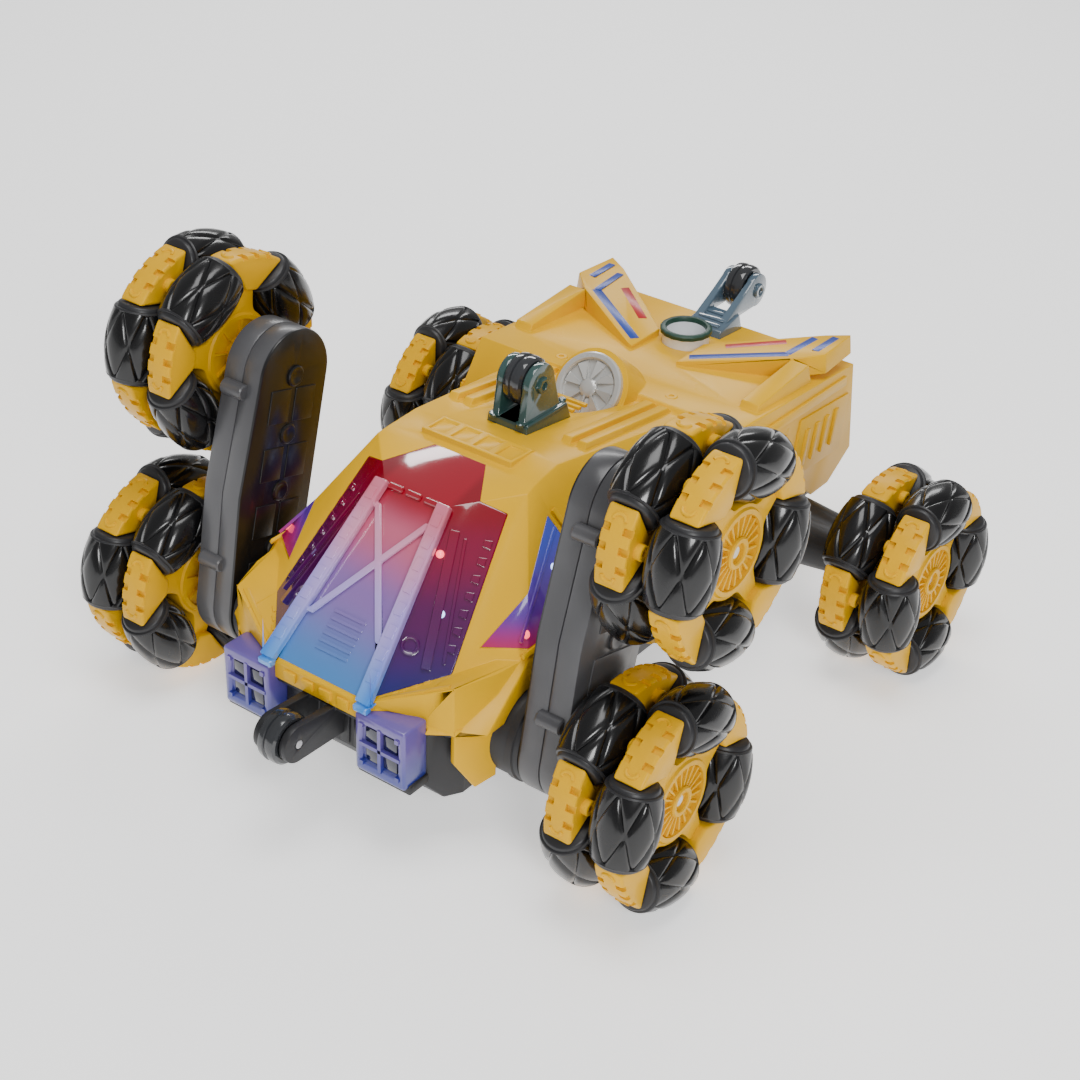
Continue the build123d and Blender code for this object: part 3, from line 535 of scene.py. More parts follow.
def star_hub(name, outer_face):
    """A star with its brackets; outer_face adds the sunburst disc."""
    plate = bmesh.new()
    prism(plate, star_outline(), -4.6 * mm, 2.6 * mm, 0.7 * mm)
    core = bmesh.new()
    lathe(core, [(15.4 * mm, -row_offset), (15.4 * mm, 2.4 * mm), (14.6 * mm, 3.4 * mm)], 64)
    bmesh.ops.transform(core, matrix=Matrix.Rotation(pi / 2, 4, "Y"), verts=core.verts)
    star = carve(as_mesh(name, plate), as_mesh("core", core), "UNION")
    sink = bmesh.new()
    lathe(sink, [(12.8 * mm, 1.6 * mm), (13.2 * mm, 6 * mm)], 64)
    bmesh.ops.transform(sink, matrix=Matrix.Rotation(pi / 2, 4, "Y"), verts=sink.verts)
    star = carve(star, as_mesh("sink", sink))
    whole = bmesh.new()
    whole.from_mesh(star)
    ribs = 20 if outer_face else 8
    for k in range(ribs):
        turn = Matrix.Rotation(2 * pi * k / ribs, 4, "X")
        rib = [(5.2 * mm, -0.3 * mm), (12.6 * mm, -0.55 * mm), (12.6 * mm, 0.55 * mm), (5.2 * mm, 0.3 * mm)]
        start = prism(whole, rib, 1.4 * mm, 2.9 * mm, 0.12 * mm, 1)
        bmesh.ops.transform(whole, matrix=turn, verts=whole.verts[start:])
    ring = bmesh.new()
    lathe(
        ring,
        [
            (5.6 * mm, 1.2 * mm),
            (5.6 * mm, 3.4 * mm),
            (5.1 * mm, 3.9 * mm),
            (3.9 * mm, 3.9 * mm),
            (3.5 * mm, 3.5 * mm),
            (3.5 * mm, 2.2 * mm),
        ],
        48,
    )
    bmesh.ops.transform(ring, matrix=Matrix.Rotation(pi / 2, 4, "Y"), verts=ring.verts)
    whole.from_mesh(as_mesh("ring", ring))
    arm = bracket()
    for k in range(4):
        start = len(whole.verts)
        whole.from_mesh(arm)
        whole.verts.ensure_lookup_table()
        bmesh.ops.transform(
            whole, matrix=Matrix.Rotation(radians(45 + 90 * k), 4, "X"), verts=whole.verts[start:]
        )
    return as_mesh(name, whole)


outer_star = star_hub("outer_star", True)
inner_star = star_hub("inner_star", False)
for star, row, turn in ((outer_star, 1, 0), (inner_star, -1, 45)):
    star.materials.clear()
    star.materials.append(yellow_plastic)
    soften(star, 35)
    facing = Matrix.Rotation(0 if row > 0 else pi, 4, "Z")
    star.transform(
        Matrix.Translation((row * row_offset, 0, 0)) @ Matrix.Rotation(radians(turn), 4, "X") @ facing
    )
for name in wheel_names:
    stand_on_wheel(outer_star, name, "outer_hub", "outer_hub")
    stand_on_wheel(inner_star, name, "inner_hub", "inner_hub")

# ---- Swing arms. Two halves of dark grey plastic screwed round the gear train; raised panels lie between
# the dished shaft bosses on both faces and two short pegs stand on the front edge.
front_low, front_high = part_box("left_front_wheel_rollers")
front_axle_y = (front_low.y + front_high.y) / 2
axle_height = (front_low.z + front_high.z) / 2
car_middle = Vector((0, front_axle_y + 0.08, 0.06))


def place(x, reach, z):
    """A place in the row frame from millimetres across, behind the front axle and above the floor."""
    return Vector((x * mm, front_axle_y + reach * mm, z * mm))


class Face:
    """A flat face through three places; its at() gives the place on it with one coordinate left out."""

    def __init__(self, a, b, c):
        self.point = Vector(a)
        self.normal = (Vector(b) - self.point).cross(Vector(c) - self.point).normalized()

    def at(self, x=None, reach=None, z=None):
        known = [x, reach, z]
        missing = known.index(None)
        rest = sum(self.normal[i] * (known[i] - self.point[i]) for i in range(3) if i != missing)
        known[missing] = self.point[missing] - rest / self.normal[missing]
        return place(*known)


def round_edges(shape, faces, width, angle=30, steps=2):
    edges = {edge for face in faces for edge in face.edges}
    sharp = [e for e in edges if len(e.link_faces) == 2 and e.calc_face_angle(0) > radians(angle)]
    bmesh.ops.bevel(
        shape, geom=sharp, offset=width, segments=steps, profile=0.5, affect="EDGES", clamp_overlap=True
    )


def slab(shape, corners, rise, width=0.25 * mm, sink=0.5 * mm, out=None):
    """A raised plate with rounded edges on a flat outline, away from the car's middle or along out."""
    normal = (corners[1] - corners[0]).cross(corners[2] - corners[1]).normalized()
    if normal.dot(out or corners[0] - car_middle) < 0:
        normal = -normal
    low = [shape.verts.new(c - normal * sink) for c in corners]
    high = [shape.verts.new(c + normal * rise) for c in corners]
    faces = [shape.faces.new(low), shape.faces.new(high)]
    for k in range(len(corners)):
        m = (k + 1) % len(corners)
        faces.append(shape.faces.new((low[k], low[m], high[m], high[k])))
    bmesh.ops.recalc_face_normals(shape, faces=faces)
    round_edges(shape, faces, width)


def strip(shape, start, end, width, rise, up):
    """A slab along a line, as wide as given across the direction up."""
    across = (end - start).cross(up).normalized() * width / 2
    slab(shape, [start - across, end - across, end + across, start + across], rise)


def turned(shape, profile, centre, axis, segments=40):
    """A lathe-turned solid standing at a centre, its own Z along an axis."""
    single = bmesh.new()
    lathe(single, profile, segments)
    bmesh.ops.recalc_face_normals(single, faces=single.faces)
    matrix = Matrix.Translation(centre) @ Vector(axis).to_track_quat("Z", "Y").to_matrix().to_4x4()
    bmesh.ops.transform(single, matrix=matrix, verts=single.verts)
    mesh = as_mesh("turned", single)
    shape.from_mesh(mesh)
    bpy.data.meshes.remove(mesh)


def cad_shape(node, width=0.5 * mm, angle=28):
    """A CAD node's own shape with merged flat faces and rounded edges."""
    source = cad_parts[node]
    shape = bmesh.new()
    shape.from_mesh(source.data)
    shape.transform(source.matrix_world)
    bmesh.ops.remove_doubles(shape, verts=shape.verts, dist=0.004 * mm)
    bmesh.ops.dissolve_limit(shape, angle_limit=radians(0.8), verts=shape.verts, edges=shape.edges)
    if width:
        edges = [e for e in shape.edges if len(e.link_faces) == 2 and e.calc_face_angle(0) > radians(angle)]
        bmesh.ops.bevel(
            shape, geom=edges, offset=width, segments=2, profile=0.5, affect="EDGES", clamp_overlap=False
        )
    return shape


def paint(node, finish):
    """Gives a CAD node that is shown as it is a better material."""
    for material_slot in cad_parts[node].material_slots:
        material_slot.material = finish


arm_finish = Finish("gunmetal_plastic", (0.07, 0.07, 0.075), 0.36, Coat_Weight=0.1)
x, y, z = arm_finish.axes()
grey = arm_finish.blend(
    arm_finish.noise(18.0, 3.0).between(0.35, 0.7), (0.05, 0.05, 0.054), (0.085, 0.085, 0.09)
)
arm_finish.set("Base Color", arm_finish.blend(x.size().between(0.0668, 0.0672), (0.006, 0.006, 0.007), grey))
arm_finish.set("Roughness", arm_finish.noise(55.0, 4.0) * 0.16 + 0.26)
arm_finish.bump(arm_finish.noise(2600.0), 0.00002, 0.5)
arm_plastic = arm_finish.material
arm_lean = radians(13.8)
gear_step = 22.0
gear_turn = (cos(arm_lean), sin(arm_lean))


def arm_place(x, across, along):
    """A place on an arm: across towards the rear, along from the pivot up."""
    reach = along * gear_turn[1] + across * gear_turn[0]
    return place(x, reach, axle_height / mm + along * gear_turn[0] - across * gear_turn[1])


for side, sign in sides.items():
    for half, face_x, out in (("inner", 66.0, -1), ("outer", 84.0, 1)):
        shape = cad_shape(f"{side}_arm_{half}_shell", 0.9 * mm)
        face = sign * face_x
        for k in range(4):
            for across in ((-11.5, -1.2), (1.2, 11.5)) if half == "inner" else ((-11.5, 11.5),):
                low, high = k * gear_step + 4.6, (k + 1) * gear_step - 4.6
                corners = [(across[0], low), (across[1], low), (across[1], high), (across[0], high)]
                flat = [arm_place(face, a, b) for a, b in corners]
                slab(shape, flat, 0.45 * mm, sink=0.3 * mm, out=Vector((sign * out, 0, 0)))
        for k in range(5):
            dish = [
                (3.9 * mm, -0.4 * mm),
                (3.9 * mm, 0.5 * mm),
                (3.4 * mm, 0.8 * mm),
                (2.6 * mm, 0.8 * mm),
                (1.6 * mm, 0.1 * mm),
            ]
            turned(shape, dish, arm_place(face, 0, k * gear_step), (sign * out, 0, 0))
        if half == "outer":
            for along in (16, 82):
                peg = [(2.4 * mm, -5 * mm), (2.9 * mm, -4.5 * mm), (2.9 * mm, 4.5 * mm), (2.4 * mm, 5 * mm)]
                turned(shape, peg, arm_place(sign * 77, -18.6, along), (1, 0, 0))
        piece(f"{side}_arm_{half}_shell_made", as_mesh(f"{side}_arm_{half}", shape), f"{side}_swing_arm",
              f"{side}_arm_{half}_shell", arm_plastic)

# ---- Chassis. One black tub with ribbed flanks, the round arm bosses, the tapered axle necks and the two
# ears of the front idler; a smaller cover closes the battery bay underneath.
black_plastic = moulded("black_plastic", (0.02, 0.02, 0.022), 0.45, shade=0.7)
shape = cad_shape("chassis", 0.5 * mm)
for sign in (1, -1):
    for reach in range(28, 150, 10):
        slab(
            shape,
            [
                place(sign * 47, r, z)
                for r, z in ((reach, 24), (reach + 6, 24), (reach + 6, 45), (reach, 45))
            ],
            0.8 * mm,
        )
for x in (-14, -8, 8, 14):
    slab(
        shape,
        [
            place(x - 2, -37.6, 33),
            place(x + 2, -37.6, 33),
            place(x + 2, -37.1, 47),
            place(x - 2, -37.1, 47),
        ],
        0.9 * mm,
    )
for sign in (1, -1):
    collar = [(17.6 * mm, -4 * mm), (17.6 * mm, -1.5 * mm), (17.0 * mm, -1.0 * mm), (16 * mm, -1 * mm)]
    turned(shape, collar, place(sign * 64.7, 0, 40), (sign, 0, 0), 64)
piece("chassis_made", as_mesh("chassis_made", shape), "car_body", "chassis", black_plastic)

# ---- Body shell. The yellow upper body, moulded in one: faceted nose and fenders, vented roof, two haunches
# with rear wings. Bumps, louvres, panels and skirts stand on it; blue stripes are printed on the wings.
centre_face = Face((0, 9, 107), (0, -43, 57), (14, 9, 107))
roof_face = Face((0, 47, 113.5), (0, 150, 100), (10, 47, 113.5))
shape = cad_shape("body_shell", 0.45 * mm)
for sign in (1, -1):
    facet = Face((sign * 14, 9, 107), (sign * 21, -43, 57), (sign * 39.6, -20, 65))
    fender = Face((sign * 20, -43, 57), (sign * 49, -29, 69), (sign * 39.6, -20, 65))
    cabin_side = Face((sign * 32, 47, 113.5), (sign * 32, 0, 113.5), (sign * 58, 0, 69))
    # small blocks in a row along the canopy's lower edge
    for k in range(5):
        share = k / 4
        x = sign * (23 + 11 * share)
        reach = -40.5 + 12.5 * share
        corners = [
            fender.at(x=x + sign * dx, reach=reach + dy)
            for dx, dy in ((0, 0), (1.9, 1.4), (1.0, 3.2), (-0.9, 1.8))
        ]
        slab(shape, corners, 1.1 * mm)
    # raised edge of the fender
    edge = [
        fender.at(x=sign * x, reach=r)
        for x, r in ((24, -40.2), (46.5, -29.6), (45.6, -27.4), (25.4, -37.6))
    ]
    slab(shape, edge, 0.7 * mm)
    # light ribs beside the side window, and a stepped sill under it
    strip(
        shape,
        cabin_side.at(reach=46.5, z=74),
        cabin_side.at(reach=36, z=103),
        2.2 * mm,
        0.9 * mm,
        Vector((sign, 0, 0.6)),
    )
    strip(
        shape,
        cabin_side.at(reach=-4, z=71),
        cabin_side.at(reach=58, z=71),
        1.8 * mm,
        0.9 * mm,
        Vector((sign, 0, 0.6)),
    )
    for k in range(4):
        strip(
            shape,
            cabin_side.at(reach=56 + 7 * k, z=78),
            cabin_side.at(reach=51 + 7 * k, z=94),
            2.4 * mm,
            0.9 * mm,
            Vector((sign, 0, 0.6)),
        )
    # haunch: a framed panel with slanting louvres, a long rib and a small hatch
    side_x = sign * 60
    for line in (
        ((104, 58), (110, 90)), ((110, 90), (158, 88)), ((158, 88), (158, 58)), ((104, 58), (158, 58))
    ):
        strip(
            shape,
            place(side_x, *line[0]),
            place(side_x, *line[1]),
            1.6 * mm,
            0.8 * mm,
            Vector((sign, 0, 0)),
        )
    for k in range(6):
        reach = 112 + 7.2 * k
        slab(
            shape,
            [
                place(side_x, r, z)
                for r, z in ((reach, 64), (reach + 3.4, 64), (reach + 7, 84), (reach + 3.6, 84))
            ],
            1.1 * mm,
        )
    slab(
        shape,
        [place(side_x, r, z) for r, z in ((164, 66), (203, 64), (206, 88), (168, 91))],
        0.7 * mm,
        0.4 * mm,
    )
    for k in range(4):
        reach = 170 + 7.5 * k
        slab(
            shape,
            [
                place(sign * 60.7, r, z)
                for r, z in ((reach, 70), (reach + 2.6, 70), (reach + 5, 85), (reach + 2.4, 85))
            ],
            0.8 * mm,
        )
    slab(shape, [place(side_x, r, z) for r, z in ((124, 95), (202, 93), (202, 97), (124, 99))], 0.9 * mm)
    # wedges beside the rails and bolts on the haunch tops
    for reach in (143, 158):
        top = [
            place(sign * x, r, 103.2 - 0.07 * (r - 121))
            for x, r in ((29, reach), (44, reach), (46, reach + 6), (29, reach + 6))
        ]
        slab(shape, top, 1.2 * mm)
    # skirt in front of the arm's pivot and the step above the lamp
    corner = ((49, -30, 52), (54.5, -14, 52), (54.5, -14, 27), (51.7, -22, 25), (49, -30, 38))
    slab(shape, [place(sign * x, r, z) for x, r, z in corner], 0.5 * mm, 0.4 * mm, 2.0 * mm)
    screw = [
        (2.6 * mm, -0.4 * mm),
        (2.6 * mm, 0.5 * mm),
        (2.1 * mm, 0.9 * mm),
        (1.1 * mm, 0.9 * mm),
        (0.9 * mm, 0.2 * mm),
    ]
    for x, reach in ((25.7, 128), (38, 112)):
        turned(shape, screw, place(sign * x, reach, 105.0 if reach > 121 else 100.6), (0, 0, 1), 24)
for x in (-12, -4, 4, 12):
    slab(
        shape,
        [
            place(x - 2.6, -43, 52),
            place(x + 2.6, -43, 52),
            place(x + 2.6, -43, 55.5),
            place(x - 2.6, -43, 55.5),
        ],
        0.9 * mm,
    )
for k in range(3):
    slab(
        shape,
        [
            roof_face.at(x=x, reach=r)
            for x, r in ((-7, 90 + 4 * k), (7, 90 + 4 * k), (7, 92 + 4 * k), (-7, 92 + 4 * k))
        ],
        0.8 * mm,
    )
body_paint = moulded("body_yellow", (0.82, 0.45, 0.0), 0.3, shade=0.88, specular=0.14)
piece(
    "body_shell_made",
    as_mesh("body_shell_made", shape),
    "car_body",
    "body_shell",
    body_paint,
    28,
)

stripe_paint = moulded("wing_blue", (0.01, 0.05, 0.36), 0.3, shade=0.8)
red_paint = moulded("wing_red", (0.5, 0.006, 0.01), 0.3, shade=0.8)
wing_slope = tan(radians(8))
for paint_name, finish, lines in (
    ("blue", stripe_paint, (((13, 159.5), (46, 179)), ((46, 179), (47.5, 198)), ((54, 186.5), (54.5, 202)))),
    ("red", red_paint, (((20, 175), (39, 189.4)),)),
):
    for side, sign in sides.items():
        shape = bmesh.new()
        for (x0, r0), (x1, r1) in lines:
            start, end = (place(sign * x, r, 104 + wing_slope * x) for x, r in ((x0, r0), (x1, r1)))
            across = (end - start).cross(Vector((0, 0, 1))).normalized() * 2.1 * mm
            slab(shape, [start - across, end - across, end + across, start + across], 0.12 * mm, 0.05 * mm)
        piece(
            f"{side}_wing_{paint_name}_stripes",
            as_mesh(f"{side}_wing_{paint_name}", shape),
            "car_body",
            finish=finish,
        )

# ---- Canopy, side windows and light bars. Tinted clear mouldings over coloured lights: crimson at the top
# through magenta to deep blue at the sides, pale pink to light blue in the middle. The light coming
# through them is a painted glow: each tint faintly emits its own colour.
def painted_glow_tint(name, glow, centre, flank):
    """A glossy tint that changes colour with height; centre and flank are colours from top to foot. It also
    emits that colour at the strength glow, a painted glow standing in for the lights under the moulding.
    """
    finish = Finish(name, (0.5, 0.05, 0.2), 0.12, Coat_Weight=1.0, Coat_Roughness=0.04)
    x, y, z = finish.axes()
    rise = (z - 0.058) / 0.052
    drift = finish.noise(14.0, 3.0) * 0.16 - 0.08
    height = rise + drift

    def ramp(colours):
        colour = finish.blend(height.between(0.0, 0.42), colours[3], colours[2])
        colour = finish.blend(height.between(0.42, 0.74), colour, colours[1])
        return finish.blend(height.between(0.74, 0.92), colour, colours[0])

    middle_edge = (1 - rise) * 0.0075 + 0.0125
    outside = (x.size() - middle_edge).between(0.0, 0.004)
    colour = finish.blend(outside, ramp(centre), ramp(flank))
    finish.set("Base Color", colour)
    # painted glow: the tint's own colour is emitted faintly in place of light shining through from inside
    finish.set("Emission Color", colour)
    finish.set("Emission Strength", glow)
    finish.set("Roughness", finish.noise(60.0, 3.0) * 0.08 + 0.06)
    finish.bump(finish.noise(240.0), 0.00004, 0.3)
    return finish.material


# the canopy's painted glow is 0.05 strong
canopy_tint = painted_glow_tint(
    "canopy_tint", 0.05,
    ((0.3, 0.002, 0.015), (0.5, 0.1, 0.18), (0.22, 0.12, 0.36), (0.05, 0.2, 0.5)),
    ((0.22, 0.001, 0.01), (0.2, 0.002, 0.035), (0.08, 0.003, 0.07), (0.006, 0.01, 0.14)),
)
shape = cad_shape("canopy", 0.35 * mm)
for sign in (1, -1):
    facet = Face((sign * 14, 9, 107), (sign * 21, -43, 57), (sign * 39.6, -20, 65))
    strip(
        shape,
        facet.at(x=sign * 19.5, z=101),
        facet.at(x=sign * 32, z=66),
        3.4 * mm,
        1.1 * mm,
        Vector((sign, -1, 1)),
    )
    strip(
        shape,
        facet.at(x=sign * 23.5, z=99),
        facet.at(x=sign * 36, z=67.5),
        1.2 * mm,
        0.8 * mm,
        Vector((sign, -1, 1)),
    )
    for k in range(7):
        z = 70 + 4.4 * k
        x = 38.4 - (z - 65) * 0.212
        corners = [
            facet.at(x=sign * (x + dx), z=z + dz)
            for dx, dz in ((0, 0), (-2.6, 0.8), (-2.9, 2.4), (-0.5, 2.2))
        ]
        slab(shape, corners, 0.8 * mm, 0.2 * mm)
    oval = [
        (3.4 * mm, -0.4 * mm),
        (3.4 * mm, 0.7 * mm),
        (2.9 * mm, 1.0 * mm),
        (2.3 * mm, 0.9 * mm),
        (2.0 * mm, 0.1 * mm),
    ]
    turned(shape, oval, facet.at(x=sign * 24.5, z=72), facet.normal * (1 if facet.normal.y < 0 else -1), 28)
for x in (-8, 0, 8):
    hinge = [(0.8 * mm, -3.2 * mm), (1.3 * mm, -2.8 * mm), (1.3 * mm, 2.8 * mm), (0.8 * mm, 3.2 * mm)]
    turned(shape, hinge, centre_face.at(x=x, z=106.4), (1, 0, 0), 20)
for k in range(6):
    z = 64 + 1.9 * k
    slab(
        shape,
        [centre_face.at(x=x, z=h) for x, h in ((-7, z), (7, z), (7, z + 0.8), (-7, z + 0.8))],
        0.5 * mm,
        0.15 * mm,
    )
piece("canopy_made", as_mesh("canopy_made", shape), "car_body", "canopy", canopy_tint, 25)

window_tint = Finish("window_tint", (0.2, 0.02, 0.2), 0.1, Coat_Weight=1.0, Coat_Roughness=0.04)
x, y, z = window_tint.axes()
rise = (z - 0.072) / 0.03 + window_tint.noise(30.0) * 0.3
colour = window_tint.blend(rise.between(0.05, 0.5), (0.45, 0.008, 0.06), (0.1, 0.03, 0.3))
colour = window_tint.blend(rise.between(0.5, 1.0), colour, (0.03, 0.06, 0.5))
window_tint.set("Base Color", colour)
# painted glow: the window faintly emits its tint in place of light shining through from inside
window_tint.set("Emission Color", colour)
window_tint.set("Emission Strength", 0.12)
for side, sign in sides.items():
    cabin_side = Face((sign * 32, 47, 113.5), (sign * 32, 0, 113.5), (sign * 58, 0, 69))
    shape = cad_shape(f"{side}_side_window", 0.3 * mm)
    strip(
        shape,
        cabin_side.at(reach=34, z=98),
        cabin_side.at(reach=-2, z=75),
        1.2 * mm,
        0.6 * mm,
        Vector((sign, 0, 0.6)),
    )
    for k in range(3):
        strip(
            shape,
            cabin_side.at(reach=10 + 10 * k, z=75),
            cabin_side.at(reach=16 + 8 * k, z=80 + 5 * k),
            0.9 * mm,
            0.5 * mm,
            Vector((sign, 0, 0.6)),
        )
    piece(f"{side}_side_window_made", as_mesh(f"{side}_side_window", shape), "car_body",
          f"{side}_side_window", window_tint.material, 25)

# the light bars' painted glow is 0.04 strong
bar_tint = painted_glow_tint(
    "bar_tint", 0.04,
    ((0.62, 0.16, 0.24), (0.66, 0.28, 0.42), (0.42, 0.32, 0.7), (0.08, 0.3, 0.75)),
    ((0.6, 0.15, 0.22), (0.6, 0.26, 0.44), (0.36, 0.28, 0.7), (0.03, 0.22, 0.7)),
)
shape = cad_shape("light_bars", 0.6 * mm)
rise_out = centre_face.normal * (1 if centre_face.normal.z > 0 else -1)
for sign in (1, -1):
    for k in range(8):
        z = 62 + 5.6 * k
        share = (107 - z) / 50
        middle = sign * (13.7 + 7.8 * share)
        corners = [
            centre_face.at(x=middle + dx, z=z + dz) + rise_out * 3 * mm
            for dx, dz in ((-1.6, 0), (1.6, 0), (1.6, 3.2), (-1.6, 3.2))
        ]
        slab(shape, corners, 0.35 * mm, 0.15 * mm)
piece(
    "light_bars_made",
    as_mesh("light_bars_made", shape),
    "car_body",
    "light_bars",
    bar_tint,
    25,
)

# ---- Cabin lamps. Small red and blue light-emitting diodes with clear domed heads; each stands in the face
# of a tinted moulding and shines as a point.
def glowing(name, colour, strength):
    finish = Finish(name, colour, 0.2, Coat_Weight=1.0)
    finish.set("Emission Color", (*colour, 1.0))
    finish.set("Emission Strength", strength)
    finish.set("Roughness", finish.noise(300.0) * 0.2 + 0.1)
    return finish.material


red_glow = glowing("red_lamp", (1.0, 0.1, 0.12), 2.5)
blue_glow = glowing("blue_lamp", (0.45, 0.6, 1.0), 3.0)
dome = [(1.5 * mm, -0.3 * mm), (1.4 * mm, 0.25 * mm), (1.0 * mm, 0.65 * mm), (0.4 * mm, 0.85 * mm)]
for side, sign in sides.items():
    facet = Face((sign * 14, 9, 107), (sign * 21, -43, 57), (sign * 39.6, -20, 65))
    cabin_side = Face((sign * 32, 47, 113.5), (sign * 32, 0, 113.5), (sign * 58, 0, 69))
    for label, finish, spots in (
        ("red", red_glow, ((facet, facet.at(x=sign * 19, z=95)), (cabin_side, cabin_side.at(reach=2, z=76)))),
        (
            "blue",
            blue_glow,
            ((facet, facet.at(x=sign * 28, z=80)), (cabin_side, cabin_side.at(reach=26, z=88))),
        ),
    ):
        shape = bmesh.new()
        for face, spot in spots:
            out = face.normal if face.normal.dot(spot - car_middle) > 0 else -face.normal
            turned(shape, dome, spot, out, 20)
        piece(
            f"{side}_{label}_lamps",
            as_mesh(f"{side}_{label}_lamps", shape),
            "car_body",
            finish=finish,
        )

# ---- Headlamps. Frosted clear boxes over a dark four-pane window, on a black base trim.
frosted = Finish("frosted_lamp", (0.42, 0.42, 0.85), 0.3, Coat_Weight=0.6, Coat_Roughness=0.15)
x, y, z = frosted.axes()
colour = frosted.blend(
    ((z - 0.032) / 0.024 + frosted.noise(40.0) * 0.3).between(0.2, 1.0),
    (0.02, 0.03, 0.26),
    (0.13, 0.09, 0.34),
)
frosted.set("Base Color", colour)
frosted.set("Emission Color", colour)
frosted.set("Emission Strength", 0.02)
frosted.bump(frosted.noise(900.0), 0.00003, 0.4)
navy = moulded("lamp_pane", (0.002, 0.003, 0.03), 0.1, shade=0.6, coat=1.0)
for side, sign in sides.items():
    low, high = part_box(f"{side}_headlamp")
    middle = (low + high) / 2
    front = low.y
    half_width, half_height = (high.x - low.x) / 2 - 3 * mm, (high.z - low.z) / 2 - 4 * mm
    shape = cad_shape(f"{side}_headlamp", 1.0 * mm)
    for dx in (-1, 1):
        for dz in (-1, 1):
            box_in(
                shape,
                (
                    middle.x + dx * half_width - 0.8 * mm,
                    front - 0.5 * mm,
                    middle.z + dz * half_height - 0.8 * mm,
                ),
                (
                    middle.x + dx * half_width + 0.8 * mm,
                    front + 1.5 * mm,
                    middle.z + dz * half_height + 0.8 * mm,
                ),
            )
    box_in(
        shape,
        (middle.x - 0.7 * mm, front - 0.3 * mm, low.z + 3 * mm),
        (middle.x + 0.7 * mm, front + 2.2 * mm, high.z - 3 * mm),
    )
    box_in(
        shape,
        (low.x + 2 * mm, front - 0.3 * mm, middle.z - 0.7 * mm),
        (high.x - 2 * mm, front + 2.2 * mm, middle.z + 0.7 * mm),
    )
    piece(
        f"{side}_headlamp_made",
        as_mesh(f"{side}_headlamp", shape),
        "car_body",
        f"{side}_headlamp",
        frosted.material,
    )
    shape = bmesh.new()
    for dx in (-1, 1):
        for dz in (-1, 1):
            cx, cz = middle.x + dx * half_width / 2, middle.z + dz * half_height / 2
            verts = box_in(
                shape,
                (cx - half_width / 2 + 0.9 * mm, front + 0.9 * mm, cz - half_height / 2 + 0.9 * mm),
                (cx + half_width / 2 - 0.9 * mm, front + 2.4 * mm, cz + half_height / 2 - 0.9 * mm),
            )
            round_edges(shape, {f for v in verts for f in v.link_faces}, 0.5 * mm)
    piece(f"{side}_lamp_panes", as_mesh(f"{side}_lamp_panes", shape), "car_body", finish=navy)
    shape = bmesh.new()
    verts = box_in(
        shape,
        (low.x - 0.8 * mm, front + 2 * mm, low.z - 2.5 * mm),
        (high.x + 0.8 * mm, high.y, low.z + 1.2 * mm),
    )
    round_edges(shape, {f for v in verts for f in v.link_faces}, 0.6 * mm)
    piece(
        f"{side}_lamp_trim",
        as_mesh(f"{side}_lamp_trim", shape),
        "car_body",
        finish=black_plastic,
    )

# ---- Turbine. A pale ring with eight pointed blades round a domed hub, set in the roof behind the rear of
# the vent; it is a fixed moulding and doesn't turn.
silver = moulded("silver_plastic", (0.62, 0.62, 0.6), 0.28, shade=0.85, coat=0.3, metallic=0.35)
turbine_centre = place(0, 111, 107)
turbine_out = Vector((0, -0.8, 0.6))
shape = bmesh.new()
ring = [
    (13.9 * mm, 0),
    (13.9 * mm, 1.9 * mm),
    (13.3 * mm, 2.5 * mm),
    (11.6 * mm, 2.5 * mm),
    (11.0 * mm, 1.9 * mm),
    (11.0 * mm, 0.7 * mm),
]
turned(shape, ring, turbine_centre, turbine_out, 64)
turned(
    shape,
    [
        (3.6 * mm, 0.5 * mm),
        (3.6 * mm, 1.7 * mm),
        (2.9 * mm, 2.2 * mm),
        (1.6 * mm, 2.45 * mm),
        (0.3 * mm, 2.5 * mm),
    ],
    turbine_centre,
    turbine_out,
    32,
)
face_turn = turbine_out.to_track_quat("Z", "Y").to_matrix().to_4x4()
for k in range(8):
    angle = 2 * pi * k / 8
    tips = [(3.2, -0.5, 2.3), (10.9, -2.6, 0.9), (10.6, 0.4, 1.9), (3.4, 0.55, 2.3)]
    corners = []
    for r, turn, h in tips:
        a = angle + turn / 11 * 1.4
        corners.append(turbine_centre + face_turn @ Vector((r * mm * cos(a), r * mm * sin(a), h * mm)))
    low = [shape.verts.new(c - turbine_out * 0.9 * mm) for c in corners]
    high = [shape.verts.new(c) for c in corners]
    faces = [shape.faces.new(low), shape.faces.new(high)]
    for j in range(4):
        faces.append(shape.faces.new((low[j], low[(j + 1) % 4], high[(j + 1) % 4], high[j])))
    bmesh.ops.recalc_face_normals(shape, faces=faces)
piece("turbine_made", as_mesh("turbine_made", shape), "car_body", "turbine_disc", silver)

